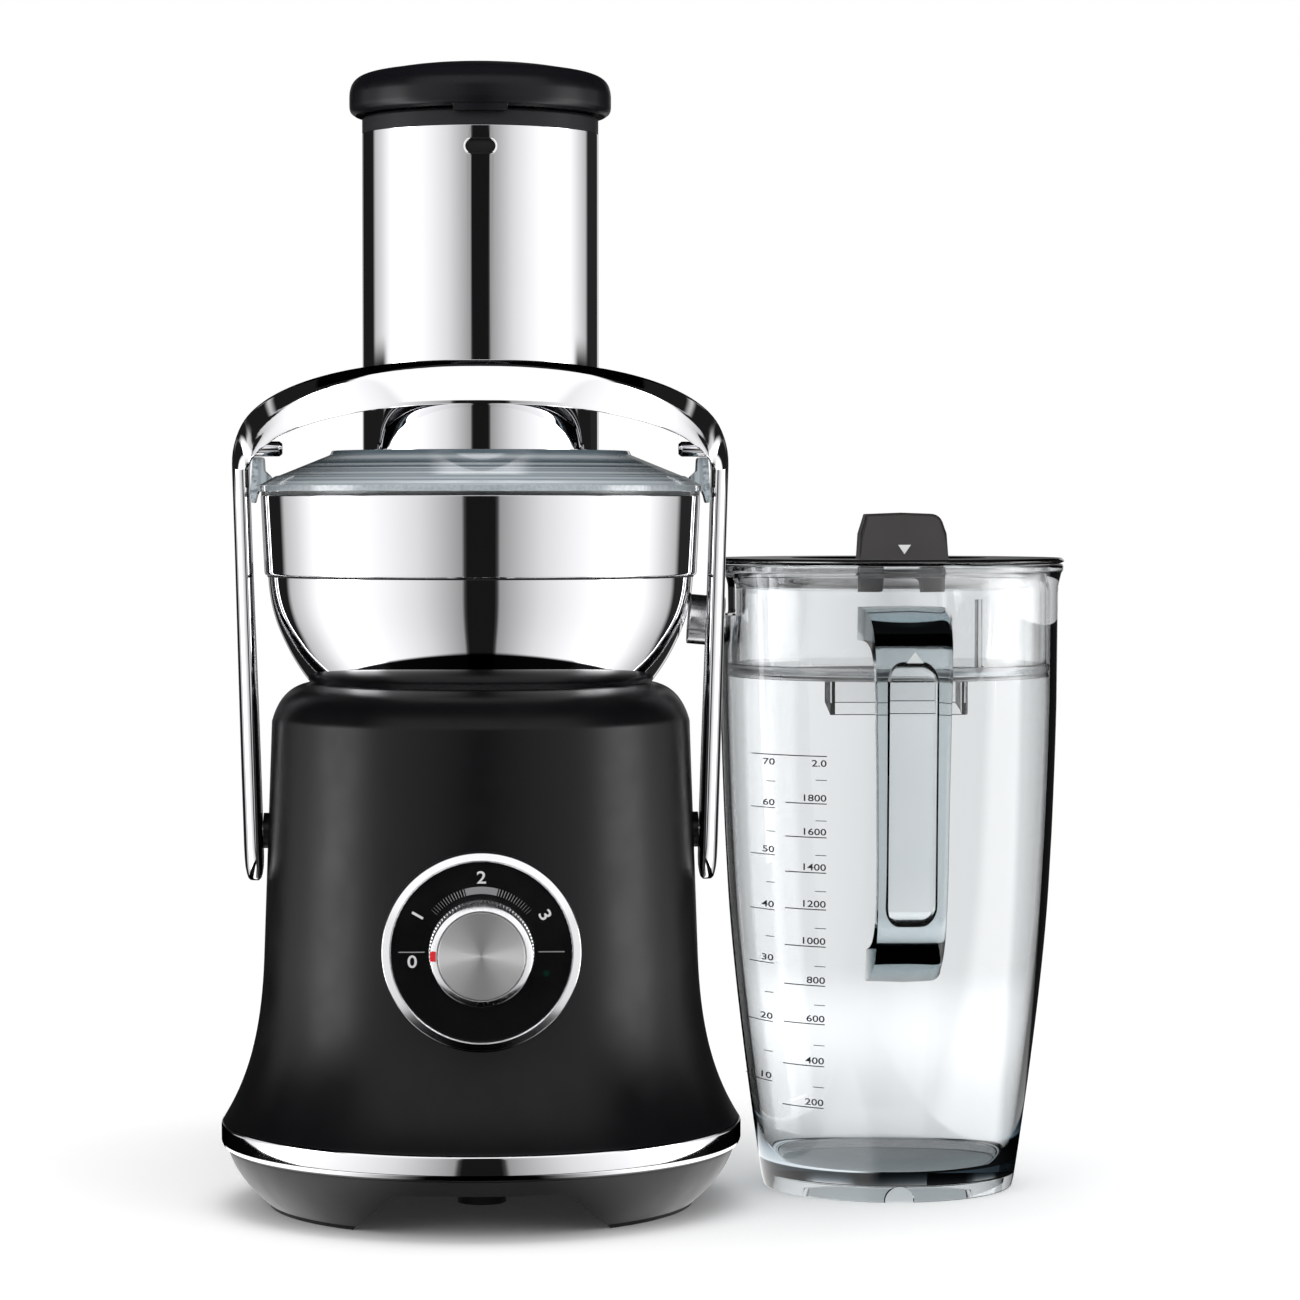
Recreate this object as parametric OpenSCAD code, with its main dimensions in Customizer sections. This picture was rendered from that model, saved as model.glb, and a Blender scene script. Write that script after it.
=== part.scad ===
// Centrifugal juicer with locking arm, outlet nozzle and juice jug.
// Millimetres. +Z up, +Y to the back, origin on the table under the motor shaft.

/* [Motor base] */
// Height of the deck that carries the bowl
deck_z = 213.3; // [205:0.1:256]
// Radius of the flat part of the deck
deck_r = 71.5; // [70:0.1:74]
// Radius of the housing just under its shoulder
waist_r = 85.6; // [82:0.1:88]
// Radius of the housing where its foot starts to flare
belly_r = 89.1; // [86:0.1:92]
// Radius of the housing at its foot
flare_r = 106.3; // [100:0.1:128]
// Wall of the moulded housing
housing_wall = 3; // [2:0.1:4]
// Height of the base skirt
skirt_h = 24.1; // [20:0.1:30]
// Height of the polished band above the skirt
band_h = 10.1; // [6:0.1:14]
// Half width of the front arch at the table
arch_half_w = 51; // [30:1:60]
// Height of the front arch
arch_h = 18; // [12:0.5:19]

/* [Speed dial] */
// Height of the dial's centre
dial_z = 112; // [105:0.5:120]
// Outside radius of the bezel ring
bezel_r = 39.1; // [34:0.1:47]
// Width of the bezel ring
bezel_w = 3.8; // [2:0.1:6]
// Radius of the speed knob
knob_r = 20.5; // [16:0.1:26]
// How far the knob stands out
knob_h = 16.5; // [10:0.5:20]
// Number of flutes round the knob
knob_flutes = 60; // [36:6:72]

/* [Bowl and nozzle] */
// Radius of the bowl's foot on the deck
bowl_foot_r = 69.6; // [66:0.1:71]
// Radius of the bowl's lower shell at its top
bowl_mid_r = 86.9; // [84:0.1:92]
// Radius of the upper band at its top edge
bowl_rim_r = 89.9; // [88.5:0.1:108]
// Height of the bowl's lower shell
bowl_shell_h = 44.1; // [40:0.1:50]
// Height of the upper band
bowl_band_h = 32.6; // [28:0.1:40]
// Sheet thickness of the bowl's skin
skin_t = 1; // [0.6:0.1:1.5]
// Wall of the plastic liner
liner_t = 2.2; // [1.5:0.1:3]
// Outside radius of the outlet nozzle
nozzle_r = 10.4; // [8:0.1:12]
// Wall of the outlet nozzle
nozzle_wall = 1.4; // [1:0.1:2]
// Slope of the nozzle below level, in degrees
nozzle_slope = 5; // [0:0.5:8]
// Distance of the nozzle behind the arm's pivot axis
nozzle_y = 36; // [32:0.5:40]
// Height of the nozzle's outlet above the deck
nozzle_rise = 23.9; // [20:0.1:30]

/* [Basket] */
// How far the grating disc reaches past the feed chute's bore
grating_margin = 2.05; // [1:0.05:4]
// Outside radius of the basket's rim
basket_rim_r = 79; // [74:0.1:80]
// Height of the basket from its disc to its rim
basket_h = 58.5; // [50:0.5:60]
// Number of tooth rows on the grating disc
tooth_rows = 12; // [6:1:14]
// Teeth in each row
teeth_per_row = 7; // [4:1:8]
// Height of a grating tooth
tooth_h = 1.8; // [1:0.1:2.4]

/* [Cover and chute] */
// Height of the cover from its rim to its flat top
cover_rise = 16.7; // [14:0.1:22]
// Radius of the flat top of the cover
cover_flat_r = 61; // [56:0.5:66]
// Wall of the cover
cover_t = 2.5; // [2:0.1:3]
// Bore radius of the feed chute
chute_r = 44.45; // [42:0.05:53.4]
// Wall of the feed chute
chute_wall = 2.65; // [2:0.05:3]
// Height of the polished sleeve above the cover
sleeve_h = 128.9; // [100:0.1:155]
// Height of the dark collar on the chute
collar_h = 6.9; // [4:0.1:10]
// Thickness of the sleeve's sheet
sleeve_t = 1.1; // [0.8:0.1:1.5]
// Half width of the pulp spout
spout_half_w = 64; // [56:1:66]
// How far back the pulp spout reaches
spout_back_y = 212; // [190:1:240]

/* [Pusher] */
// How far the pusher's cap reaches past the chute's sleeve
cap_margin = 5.2; // [3:0.1:8]
// Height of the pusher's cap
cap_h = 21.4; // [16:0.1:26]
// Sliding clearance between pusher and chute
pusher_gap = 0.5; // [0.4:0.05:1]
// Gap left between the pusher's foot and the grating disc
pusher_foot_gap = 12; // [8:0.5:20]

/* [Locking arm] */
// Height of the arm's pivot
pivot_z = 152.7; // [146:0.1:160]
// Radius of the pivot pin
pivot_r = 3; // [2.5:0.1:4]
// Thickness of the arm's side bar
arm_t = 7.2; // [6:0.1:9]
// Width of the side bar at its top
arm_w = 16; // [14:0.5:17]
// Width of the side bar at its pivot
arm_foot_w = 24; // [18:0.5:28]
// Height of the handle above the side bars
handle_rise = 34.5; // [30:0.5:42]
// Distance from the chute's sleeve to the middle of the handle
handle_reach = 19.8; // [16:0.1:30]
// Height of the handle's section at its middle
handle_h = 17.4; // [14:0.1:20]
// Thickness of the handle's section at its middle
handle_t = 13; // [10:0.5:15]
// Radius of the locking pins
lock_pin_r = 3.1; // [2.5:0.1:3.5]
// How far a locking pin reaches inward from the arm
lock_pin_reach = 12; // [9:0.5:13]

/* [Jug] */
// Height of the jug's rim above the nozzle's outlet
jug_rim_rise = 24.1; // [20:0.1:30]
// Radius of the jug's rim
jug_rim_r = 73.2; // [72:0.1:75]
// Outside radius of the jug under its rim
jug_top_r = 71; // [69:0.1:72]
// Outside radius of the jug at its foot
jug_foot_r = 53; // [48:0.1:58]
// Wall of the jug
jug_t = 3; // [2.5:0.1:3.5]
// Thickness of the jug's floor
jug_floor_t = 5; // [4:0.5:8]
// Height of the foot ring under the floor
jug_foot_h = 7; // [5:0.5:9]
// Width of the jug's handle
jug_grip_w = 31; // [26:0.5:36]
// How far the jug's handle stands off the wall
jug_grip_reach = 36; // [30:1:44]
// Depth of the froth separator below the rim
separator_depth = 50; // [44:1:54]

/* [Pulp container] */
// Half width of the pulp container at its top
bin_half_w = 73; // [66:0.5:74]
// Drop from the bowl's rim to the pulp container's rim
bin_drop = 28; // [26:0.5:40]
// Back of the pulp container
bin_back_y = 232; // [220:1:250]
// Wall of the pulp container
bin_t = 2.2; // [1.8:0.1:3]

/* [Motor] */
// Radius of the motor shaft
shaft_r = 4; // [3:0.1:5]
// Outside radius of the stator core
stator_r = 42; // [38:0.5:46]
// Height of the stator core
stator_h = 40; // [30:1:46]
// Radius of the armature
armature_r = 24.5; // [22:0.1:26]
// Depth of the motor's upper bracket below the deck
motor_drop = 56; // [50:1:60]

/* [Hidden] */
$fn = 96;
eps = 0.01;
// Clearances
seat_gap = 0.3;      // parts that rest on each other but come apart
run_gap = 0.05;      // shaft in its bore
touch_gap = 0.5;     // moving part beside a fixed one
inlet_gap = 0.6;     // nozzle in the jug's inlet

// Heights stacked from the table up
band_top_z = skirt_h + band_h;
flare_top_z = 99.3;
shoulder_drop = 15.5;
bowl_step_z = deck_z + bowl_shell_h;
bowl_rim_z = bowl_step_z + bowl_band_h;
cover_rim_z = bowl_rim_z + 1.5;
cover_top_z = cover_rim_z + cover_rise;
sleeve_top_z = cover_top_z + sleeve_h;
collar_top_z = sleeve_top_z + collar_h;
cap_z = collar_top_z + 0.5;
liner_floor_z = deck_z + 15.2;
hub_z = liner_floor_z + 4.5;
hub_t = 3;
disc_z = hub_z + hub_t;
disc_t = 1.2;
disc_top_z = disc_z + disc_t;
chute_foot_z = disc_top_z + tooth_h + 6;
rim_low_z = disc_z + basket_h - 3.5;
nozzle_z = deck_z + nozzle_rise;
jug_h = nozzle_z + jug_rim_rise;
bin_h = bowl_rim_z - bin_drop;

// Radii that follow one another
chute_out_r = chute_r + chute_wall;
sleeve_out_r = chute_out_r + sleeve_t;
grating_r = chute_r + grating_margin;
cap_r = sleeve_out_r + cap_margin;
handle_bow = sleeve_out_r + handle_reach;
cover_rim_r = bowl_rim_r + 1;
mesh_t = 0.8;
mesh_low_r = grating_r + 1;
mesh_high_r = basket_rim_r - 2.5;

// Locking arm
ear_reach = 3.1;
ear_r = cover_rim_r + ear_reach;
ear_top_z = cover_top_z - 2.6;
lock_pin_z = ear_top_z + seat_gap + lock_pin_r;
handle_z = lock_pin_z - 9;
arm_top_x = ear_r + 0.4 + arm_t / 2;
boss_r = 7.25;
boss_end_x = max(waist_r + 3.5, bowl_rim_r - 0.8);
arm_foot_t = arm_t + 0.8;
arm_foot_x = boss_end_x + seat_gap + arm_foot_t / 2;
arm_tail = 20.2;

// Jug place: just outside the locking arm and clear of the base's foot
jug_in_r = jug_top_r - jug_t;
jug_y = nozzle_y;
arm_out_x = ear_r + 0.4 + arm_t;
base_clear_r = flare_r + jug_foot_r + 9.6;
jug_x = max(arm_out_x + jug_in_r + 1.6, sqrt(base_clear_r * base_clear_r - jug_y * jug_y));
nozzle_end_x = jug_x - jug_in_r - 1.6;
separator_r = jug_in_r - 1.8;
lid_t = 2.4;
lid_z = jug_h + seat_gap;

// Motor, measured down from the deck
bracket_t = 4;
upper_bracket_z = deck_z - motor_drop;
stator_top_z = upper_bracket_z - 14;
stator_z = stator_top_z - stator_h;
lower_drop = 38;
lower_bracket_z = stator_z - lower_drop;
bearing_out_r = 11;
bearing_h = 7;
shaft_low_z = lower_bracket_z - 24;
winding_over = 10;
bolt_ring_r = stator_r - 4;
bolt_r = 2;
mount_ring_r = 56;
mount_h = 14;

// Dial, along Y
bezel_front_y = -belly_r - 2.4;
face_front_y = bezel_front_y + 1.5;

// ---- curves and helpers ----
function bez2(a, b, c, n) =
    [for (i = [0:n]) let (t = i / n) (1 - t) * (1 - t) * a + 2 * t * (1 - t) * b + t * t * c];
function bez3(a, b, c, d, n) =
    [for (i = [0:n]) let (t = i / n, s = 1 - t)
        s * s * s * a + 3 * s * s * t * b + 3 * s * t * t * c + t * t * t * d];
function flip(list) = [for (i = [len(list) - 1:-1:0]) list[i]];
function unit(v) = v / norm(v);
function signed_pow(v, e) = sign(v) * pow(abs(v), e);

// A closed oval ring of points in 3D: half sizes hu along u and hb along b
function ring3(centre, u, b, hu, hb, n) =
    [for (j = [0:n - 1]) let (a = 360 * j / n)
        centre + hu * signed_pow(cos(a), 0.78) * u + hb * signed_pow(sin(a), 0.78) * b];

// A solid lofted through rings that all hold the same number of points
module loft(rings) {
    n = len(rings[0]);
    m = len(rings);
    polyhedron(
        points = [for (r = rings) each r],
        faces = concat(
            [[for (j = [0:n - 1]) j]],
            [for (i = [0:m - 2]) for (j = [0:n - 1])
                let (k = (j + 1) % n)
                    [i * n + k, i * n + j, (i + 1) * n + j, (i + 1) * n + k]],
            [[for (j = [n - 1:-1:0]) (m - 1) * n + j]]),
        convexity = 6);
}

// A ring with a square section
module tube(r_out, r_in, z, h) {
    translate([0, 0, z])
        difference() {
            cylinder(r = r_out, h = h);
            translate([0, 0, -1]) cylinder(r = r_in, h = h + 2);
        }
}

// Cylinder along +X from x0 to x1
module x_rod(r, x0, x1, y, z) {
    translate([x0, y, z]) rotate([0, 90, 0]) cylinder(r = r, h = x1 - x0);
}

// Cylinder along +Y from y0 to y1
module y_rod(r, y0, y1, x, z) {
    translate([x, y0, z]) rotate([-90, 0, 0]) cylinder(r = r, h = y1 - y0);
}

// Rectangle with round corners, by its half sizes
module round_rect(half_x, half_y, r) {
    square([2 * half_x - 2 * r, 2 * half_y], center = true);
    square([2 * half_x, 2 * half_y - 2 * r], center = true);
    for (sx = [-1, 1], sy = [-1, 1])
        translate([sx * (half_x - r), sy * (half_y - r)]) circle(r = r);
}

// ---- motor base ----
// Side of the housing from the deck edge down to its foot, moved in by k
function housing_side(k) = concat(
    bez2([deck_r, deck_z - k], [waist_r - 3.5 - k * 0.6, deck_z - 2.2 - k],
        [waist_r - k, deck_z - shoulder_drop], 6),
    bez3([belly_r - k, flare_top_z], [belly_r + 1.4 - k, flare_top_z - 33],
        [flare_r - 8.8 - k, band_top_z + 14], [flare_r - k, band_top_z], 9));
hub_hole_r = 9;

module motor_housing() {
    color([0.13, 0.13, 0.15])
        difference() {
            union() {
                rotate_extrude()
                    polygon(concat([[hub_hole_r, deck_z]], housing_side(0),
                        flip(housing_side(housing_wall)), [[hub_hole_r, deck_z - housing_wall]]));
                // collar round the shaft, inside the bowl's chimney
                tube(13, hub_hole_r, deck_z - eps, 5);
                // posts that carry the motor
                for (a = [45:90:315])
                    rotate([0, 0, a]) translate([mount_ring_r, 0, motor_post_z])
                        cylinder(r = 7, h = deck_z - housing_wall - motor_post_z + eps);
            }
            y_rod(bezel_r + run_gap, -2 * belly_r, -belly_r / 2, 0, dial_z);
            for (s = [-1, 1])
                x_rod(boss_r, s > 0 ? 60 : -100, s > 0 ? 100 : -60, 0, pivot_z);
            y_rod(gland_r, belly_r / 2, 2 * belly_r, 0, gland_z);
        }
}
motor_post_z = upper_bracket_z + bracket_t + mount_h;
gland_z = 62;
gland_r = 8;

module trim_band() {
    color("silver")
        rotate_extrude()
            polygon(concat(
                bez2([flare_r + 0.2, band_top_z], [flare_r + 0.6, band_top_z - band_h / 2],
                    [flare_r - 1.8, skirt_h], 5),
                [[flare_r - 8, skirt_h], [flare_r - 8, band_top_z - 2],
                    [flare_r - housing_wall - 0.5, band_top_z - 2],
                    [flare_r - housing_wall - 0.5, band_top_z]]));
}

foot_t = 1.6;
skirt_foot_r = flare_r - 18.3;
// Outer side of the skirt from the band down to the table
function skirt_side(k) =
    bez3([flare_r - 2.2 - k, skirt_h], [flare_r - 4.4 - k, 15.5], [flare_r - 10.5 - k, 8],
        [skirt_foot_r - k, foot_t], 7);
skirt_ledge_z = 18.2;

// The opening under the front edge
module front_arch() {
    rotate([90, 0, 0])
        linear_extrude(height = 130)
            polygon([[-arch_half_w, -1], [arch_half_w, -1], [arch_half_w, 0],
                [arch_half_w - 14, arch_h - 3], [arch_half_w - 18, arch_h],
                [18 - arch_half_w, arch_h], [14 - arch_half_w, arch_h - 3], [-arch_half_w, 0]]);
}

module base_skirt() {
    color([0.29, 0.29, 0.3])
        difference() {
            rotate_extrude()
                polygon(concat(skirt_side(0),
                    [[skirt_foot_r - 10, foot_t], [skirt_foot_r - 10, foot_t + 3]],
                    [for (p = flip(skirt_side(3.2))) if (p[1] > foot_t + 3) p],
                    [[flare_r - 8, skirt_h - 2.9], [flare_r - 8, skirt_h]]));
            front_arch();
        }
}

module foot_strip() {
    color([0.06, 0.06, 0.06])
        difference() {
            tube(skirt_foot_r - 1, skirt_foot_r - 9, 0, foot_t);
            front_arch();
        }
}

plate_z = skirt_ledge_z;
plate_t = 2.6;
plate_r = flare_r - 8.4;
screw_ring_r = plate_r - 9;
screw_r = 2;

module base_plate() {
    color([0.16, 0.16, 0.17])
        difference() {
            union() {
                translate([0, 0, plate_z]) cylinder(r = plate_r, h = plate_t);
                // front post and two cleats that the cord winds round
                for (a = [-90, 30, 150])
                    rotate([0, 0, a]) translate([40, 0, 6]) cylinder(r = 9.7, h = plate_z - 6 + eps);
                // bosses up to the housing
                for (a = [45:90:315])
                    rotate([0, 0, a]) translate([screw_ring_r, 0, plate_z])
                        cylinder(r = 5, h = 12);
                // posts for the control board
                for (x = [-30, 30], y = [34, 66])
                    translate([x, y, plate_z + plate_t - eps]) cylinder(r = 3, h = 9);
            }
            for (a = [45:90:315])
                rotate([0, 0, a]) translate([screw_ring_r, 0, plate_z - 1])
                    cylinder(r = screw_r, h = 10);
            // cooling vents
            for (a = [0:20:340])
                rotate([0, 0, a]) translate([58, -2, plate_z - 1]) cube([20, 4, plate_t + 2]);
        }
}

module base_screws() {
    color("silver")
        for (a = [45:90:315])
            rotate([0, 0, a]) translate([screw_ring_r, 0, plate_z]) {
                translate([0, 0, -2.2]) cylinder(r = 3.8, h = 2.2);
                cylinder(r = screw_r, h = 8.5);
            }
}

module cord_gland() {
    color([0.08, 0.08, 0.08])
        difference() {
            union() {
                y_rod(gland_r, belly_r - 5, belly_r + 5.4, 0, gland_z);
                y_rod(gland_r + 2.5, belly_r - 7.5, belly_r - 5, 0, gland_z);
            }
            y_rod(4.1, belly_r - 9, belly_r + 7, 0, gland_z);
        }
}

// ---- speed dial ----
module dial_bezel() {
    color("silver")
        translate([0, bezel_front_y, dial_z])
            rotate([-90, 0, 0])
                rotate_extrude()
                    polygon(concat(
                        [[bezel_r - bezel_w, 1.5]],
                        bez2([bezel_r - bezel_w, 0.8], [bezel_r - bezel_w / 2, -0.8],
                            [bezel_r, 0.8], 6),
                        [[bezel_r, 24], [bezel_r - bezel_w, 24]]));
}

spindle_r = 3;
module dial_face() {
    color([0.07, 0.07, 0.08])
        difference() {
            y_rod(bezel_r - bezel_w, face_front_y, face_front_y + 3, 0, dial_z);
            y_rod(spindle_r + run_gap, face_front_y - 1, face_front_y + 4, 0, dial_z);
            y_rod(lens_r, face_front_y - 1, face_front_y + 4, lens_x, lens_z);
        }
}
lens_r = 1.2;
lens_x = 26.6 * cos(18.5);
lens_z = dial_z - 26.6 * sin(18.5);

module indicator_lens() {
    color([0.1, 0.6, 0.3])
        y_rod(lens_r, face_front_y - 0.3, face_front_y + 4, lens_x, lens_z);
}

knob_back_y = face_front_y - seat_gap;
module speed_knob() {
    step_a = 360 / knob_flutes;
    color("silver")
        difference() {
            translate([0, knob_back_y, dial_z])
                rotate([90, 0, 0])
                    union() {
                        cylinder(r = knob_r, h = 2.6);
                        // fluted grip
                        linear_extrude(height = knob_h - 3)
                            polygon([for (i = [0:knob_flutes - 1]) each [
                                (knob_r - 0.9) * [cos(i * step_a), sin(i * step_a)],
                                (knob_r - 0.3) * [cos((i + 0.5) * step_a), sin((i + 0.5) * step_a)]]]);
                        translate([0, 0, knob_h - 3])
                            cylinder(r1 = knob_r - 1.3, r2 = knob_r - 3, h = 2.2);
                    }
            y_rod(spindle_r, knob_back_y - 9, knob_back_y + 1, 0, dial_z);
        }
}

module knob_face() {
    color([0.8, 0.8, 0.82])
        translate([0, knob_back_y - knob_h + 0.8, dial_z])
            rotate([90, 0, 0])
                cylinder(r1 = knob_r - 3.2, r2 = knob_r - 3.6, h = 0.8);
}

module dial_spindle() {
    color("gray")
        y_rod(spindle_r, knob_back_y - 9, face_front_y + 10, 0, dial_z);
}

module speed_switch() {
    color([0.2, 0.3, 0.55])
        difference() {
            y_rod(13, face_front_y + 3, face_front_y + 18, 0, dial_z);
            y_rod(spindle_r + run_gap, face_front_y + 2, face_front_y + 11, 0, dial_z);
        }
}

module control_board() {
    color([0.1, 0.4, 0.2])
        translate([0, 0, plate_z + plate_t + 9 - eps]) {
            translate([-36, 28, 0]) cube([72, 44, 1.6]);
            translate([-20, 36, 1.6]) cube([18, 14, 9]);
            translate([14, 46, 1.6]) cylinder(r = 7, h = 16);
        }
}

// ---- arm pivots ----
module mirrored_x() {
    children();
    mirror([1, 0, 0]) children();
}

module pivot_bosses() {
    color([0.09, 0.09, 0.1])
        mirrored_x()
            difference() {
                union() {
                    x_rod(boss_r, waist_r - 6, boss_end_x, 0, pivot_z);
                    // flange inside the housing
                    x_rod(boss_r + 2.5, waist_r - 6, waist_r - 2.8, 0, pivot_z);
                }
                x_rod(pivot_r, waist_r - 13, boss_end_x + 1, 0, pivot_z);
            }
}

pin_head_r = 6;
module pivot_pins() {
    color("silver")
        mirrored_x() {
            x_rod(pivot_r, waist_r - 14, boss_end_x + 6, 0, pivot_z);
            x_rod(pin_head_r, waist_r - 18, waist_r - 14, 0, pivot_z);
        }
}

module safety_switch() {
    color([0.75, 0.2, 0.15])
        difference() {
            translate([waist_r - 30, -6, pivot_z - 9]) cube([15.5, 12, 18]);
            x_rod(pin_head_r + 0.2, waist_r - 18.2, waist_r - 12, 0, pivot_z);
        }
}

// ---- motor ----
module shaft_seal() {
    color([0.07, 0.07, 0.07])
        tube(hub_hole_r, shaft_r + run_gap, deck_z - housing_wall, housing_wall + 3);
}

module bracket_plate(z, ears) {
    translate([0, 0, z])
        difference() {
            union() {
                cylinder(r = stator_r, h = bracket_t);
                cylinder(r = bearing_out_r + 4, h = bearing_h + 2);
                if (ears)
                    for (a = [45:90:315])
                        rotate([0, 0, a]) translate([stator_r - 8, -8, 0])
                            cube([mount_ring_r - stator_r + 16, 16, bracket_t]);
            }
            translate([0, 0, -1]) cylinder(r = shaft_r + 1.5, h = 20);
            translate([0, 0, 2]) cylinder(r = bearing_out_r, h = 20);
            for (a = [0:90:270])
                rotate([0, 0, a]) translate([bearing_out_r + 6, -7, -1]) cube([18, 14, 20]);
            for (a = [45, 225])
                rotate([0, 0, a]) translate([bolt_ring_r, 0, -1]) cylinder(r = bolt_r, h = 20);
        }
}

module upper_bracket() {
    color([0.7, 0.7, 0.72]) bracket_plate(upper_bracket_z, true);
}

module lower_bracket() {
    color([0.7, 0.7, 0.72]) bracket_plate(lower_bracket_z, false);
}

module motor_mounts() {
    color([0.1, 0.1, 0.1])
        for (a = [45:90:315])
            rotate([0, 0, a]) translate([mount_ring_r, 0, upper_bracket_z + bracket_t])
                cylinder(r = 7.5, h = mount_h);
}

module stator_bolts() {
    color("silver")
        for (a = [45, 225])
            rotate([0, 0, a]) translate([bolt_ring_r, 0, 0]) {
                translate([0, 0, lower_bracket_z - 3])
                    cylinder(r = bolt_r, h = upper_bracket_z + bracket_t + 3 - lower_bracket_z);
                translate([0, 0, lower_bracket_z - 3]) cylinder(r = 3.8, h = 3);
                // spacers between the brackets and the core
                tube(3.6, bolt_r - eps, lower_bracket_z + bracket_t, lower_drop - bracket_t);
                tube(3.6, bolt_r - eps, stator_top_z, 14);
            }
}

module bearings() {
    color([0.6, 0.6, 0.65])
        for (z = [lower_bracket_z + 2, upper_bracket_z + 2])
            tube(bearing_out_r, shaft_r + run_gap, z, bearing_h);
}

// A sector of a ring, centred on angle a
module ring_sector(r_out, r_in, a, half_a, z, h) {
    translate([0, 0, z])
        rotate([0, 0, a - half_a])
            rotate_extrude(angle = 2 * half_a)
                translate([r_in, 0]) square([r_out - r_in, h]);
}

coil_out_r = 33;
coil_in_r = 27;
module stator_core() {
    color([0.45, 0.45, 0.48])
        difference() {
            tube(stator_r, armature_r + 0.8, stator_z, stator_h);
            for (a = [0, 180])
                ring_sector(coil_out_r + 0.4, coil_in_r - 0.3, a, 46, stator_z - 1, stator_h + 2);
            translate([-coil_in_r, -11, stator_z - 1])
                cube([2 * coil_in_r, 22, stator_h + 2]);
            for (a = [45, 225])
                rotate([0, 0, a]) translate([bolt_ring_r, 0, stator_z - 1])
                    cylinder(r = bolt_r, h = stator_h + 2);
        }
}

module field_windings() {
    color([0.72, 0.4, 0.2])
        for (a = [90, 270])
            difference() {
                ring_sector(coil_out_r, coil_in_r, a, 60, stator_z - winding_over,
                    stator_h + 2 * winding_over);
                ring_sector(coil_out_r + 1, coil_in_r - 1, a, 44.5, stator_z - 0.4,
                    stator_h + 0.8);
            }
}

brush_z = stator_z - 17;
module brush_holders() {
    color([0.35, 0.25, 0.15])
        for (a = [0, 180])
            rotate([0, 0, a]) {
                // carbon brush on the commutator
                difference() {
                    translate([12, -3, brush_z - 4]) cube([20, 6, 8]);
                    translate([0, 0, brush_z - 5]) cylinder(r = commutator_r + run_gap, h = 10);
                }
                // sleeve down to the lower bracket
                difference() {
                    translate([20, -10, lower_bracket_z + bracket_t])
                        cube([16, 20, brush_z + 7 - lower_bracket_z - bracket_t]);
                    translate([19, -3, brush_z - 4]) cube([14, 6, 8]);
                }
            }
}
commutator_r = 13;

module motor_shaft() {
    color("silver")
        translate([0, 0, shaft_low_z])
            cylinder(r = shaft_r, h = coupling_top_z - 4 - shaft_low_z);
}

module armature_core() {
    color([0.5, 0.5, 0.52])
        difference() {
            tube(armature_r, shaft_r, stator_z, stator_h);
            for (a = [0:30:330])
                rotate([0, 0, a]) translate([armature_r - 7, -1.2, stator_z - 1])
                    cube([9, 2.4, stator_h + 2]);
        }
}

module armature_windings() {
    color([0.75, 0.42, 0.2])
        for (z = [stator_z - 7, stator_top_z])
            tube(armature_r - 3, shaft_r, z, 7);
}

module commutator() {
    color([0.8, 0.5, 0.25])
        tube(commutator_r, shaft_r, brush_z - 8, 16);
}

module cooling_fan() {
    fan_z = shaft_low_z + 2;
    color([0.2, 0.2, 0.22])
        difference() {
            union() {
                translate([0, 0, fan_z]) cylinder(r = 9, h = 16);
                translate([0, 0, fan_z + 14]) cylinder(r = 36, h = 2);
                for (a = [0:40:320])
                    rotate([0, 0, a]) translate([7, -1, fan_z + 1]) cube([28, 2, 14]);
            }
            translate([0, 0, fan_z - 1]) cylinder(r = shaft_r, h = 20);
        }
}

coupling_top_z = hub_z - 1;
coupling_z = deck_z + 6;
// Six-lobed star that carries the drive
module star(k) {
    circle(r = 8 + k);
    for (a = [0:60:300])
        rotate([0, 0, a]) translate([4, -2 - k]) square([7 + k, 4 + 2 * k]);
}

module drive_coupling() {
    color([0.12, 0.12, 0.12])
        translate([0, 0, coupling_z])
            difference() {
                linear_extrude(height = coupling_top_z - coupling_z) star(0);
                translate([0, 0, -1]) cylinder(r = shaft_r, h = coupling_top_z - 3 - coupling_z);
            }
}

// ---- basket ----
socket_r = 14.5;
module basket_hub() {
    color([0.16, 0.16, 0.17])
        difference() {
            union() {
                translate([0, 0, hub_z]) cylinder(r = mesh_low_r + 3.6, h = hub_t);
                translate([0, 0, coupling_z + 2]) cylinder(r = socket_r, h = hub_z - coupling_z - 2 + eps);
                tube(25, 22.5, liner_floor_z + 1.6, hub_z - liner_floor_z - 1.6 + eps);
                // lip that holds the foot of the mesh
                tube(mesh_low_r + 3.6, mesh_low_r + 2.2, disc_z - eps, 2);
            }
            translate([0, 0, coupling_z])
                linear_extrude(height = coupling_top_z - coupling_z) star(0.2);
        }
}

// One punched tooth: a slanted wedge that rises to a point
module tooth() {
    rotate([90, 0, 0])
        linear_extrude(height = 1.8, center = true)
            polygon([[-1.6, -0.3], [1.3, -0.3], [1.3, tooth_h], [0.8, tooth_h]]);
}

module grating_disc() {
    color([0.75, 0.76, 0.78])
        translate([0, 0, disc_z])
            union() {
                difference() {
                    cylinder(r = grating_r, h = disc_t);
                    for (a = [0:120:240])
                        rotate([0, 0, a]) translate([12, 0, -1]) cylinder(r = 1.6, h = 4);
                }
                translate([0, 0, disc_t - eps]) cylinder(r1 = 6, r2 = 3.5, h = 2.2);
                for (row = [0:tooth_rows - 1], i = [0:teeth_per_row - 1])
                    rotate([0, 0, row * 360 / tooth_rows + i * 7])
                        translate([grating_r - 4 - i * 4.2, 0, disc_t])
                            rotate([0, 0, 90]) tooth();
            }
}

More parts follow.
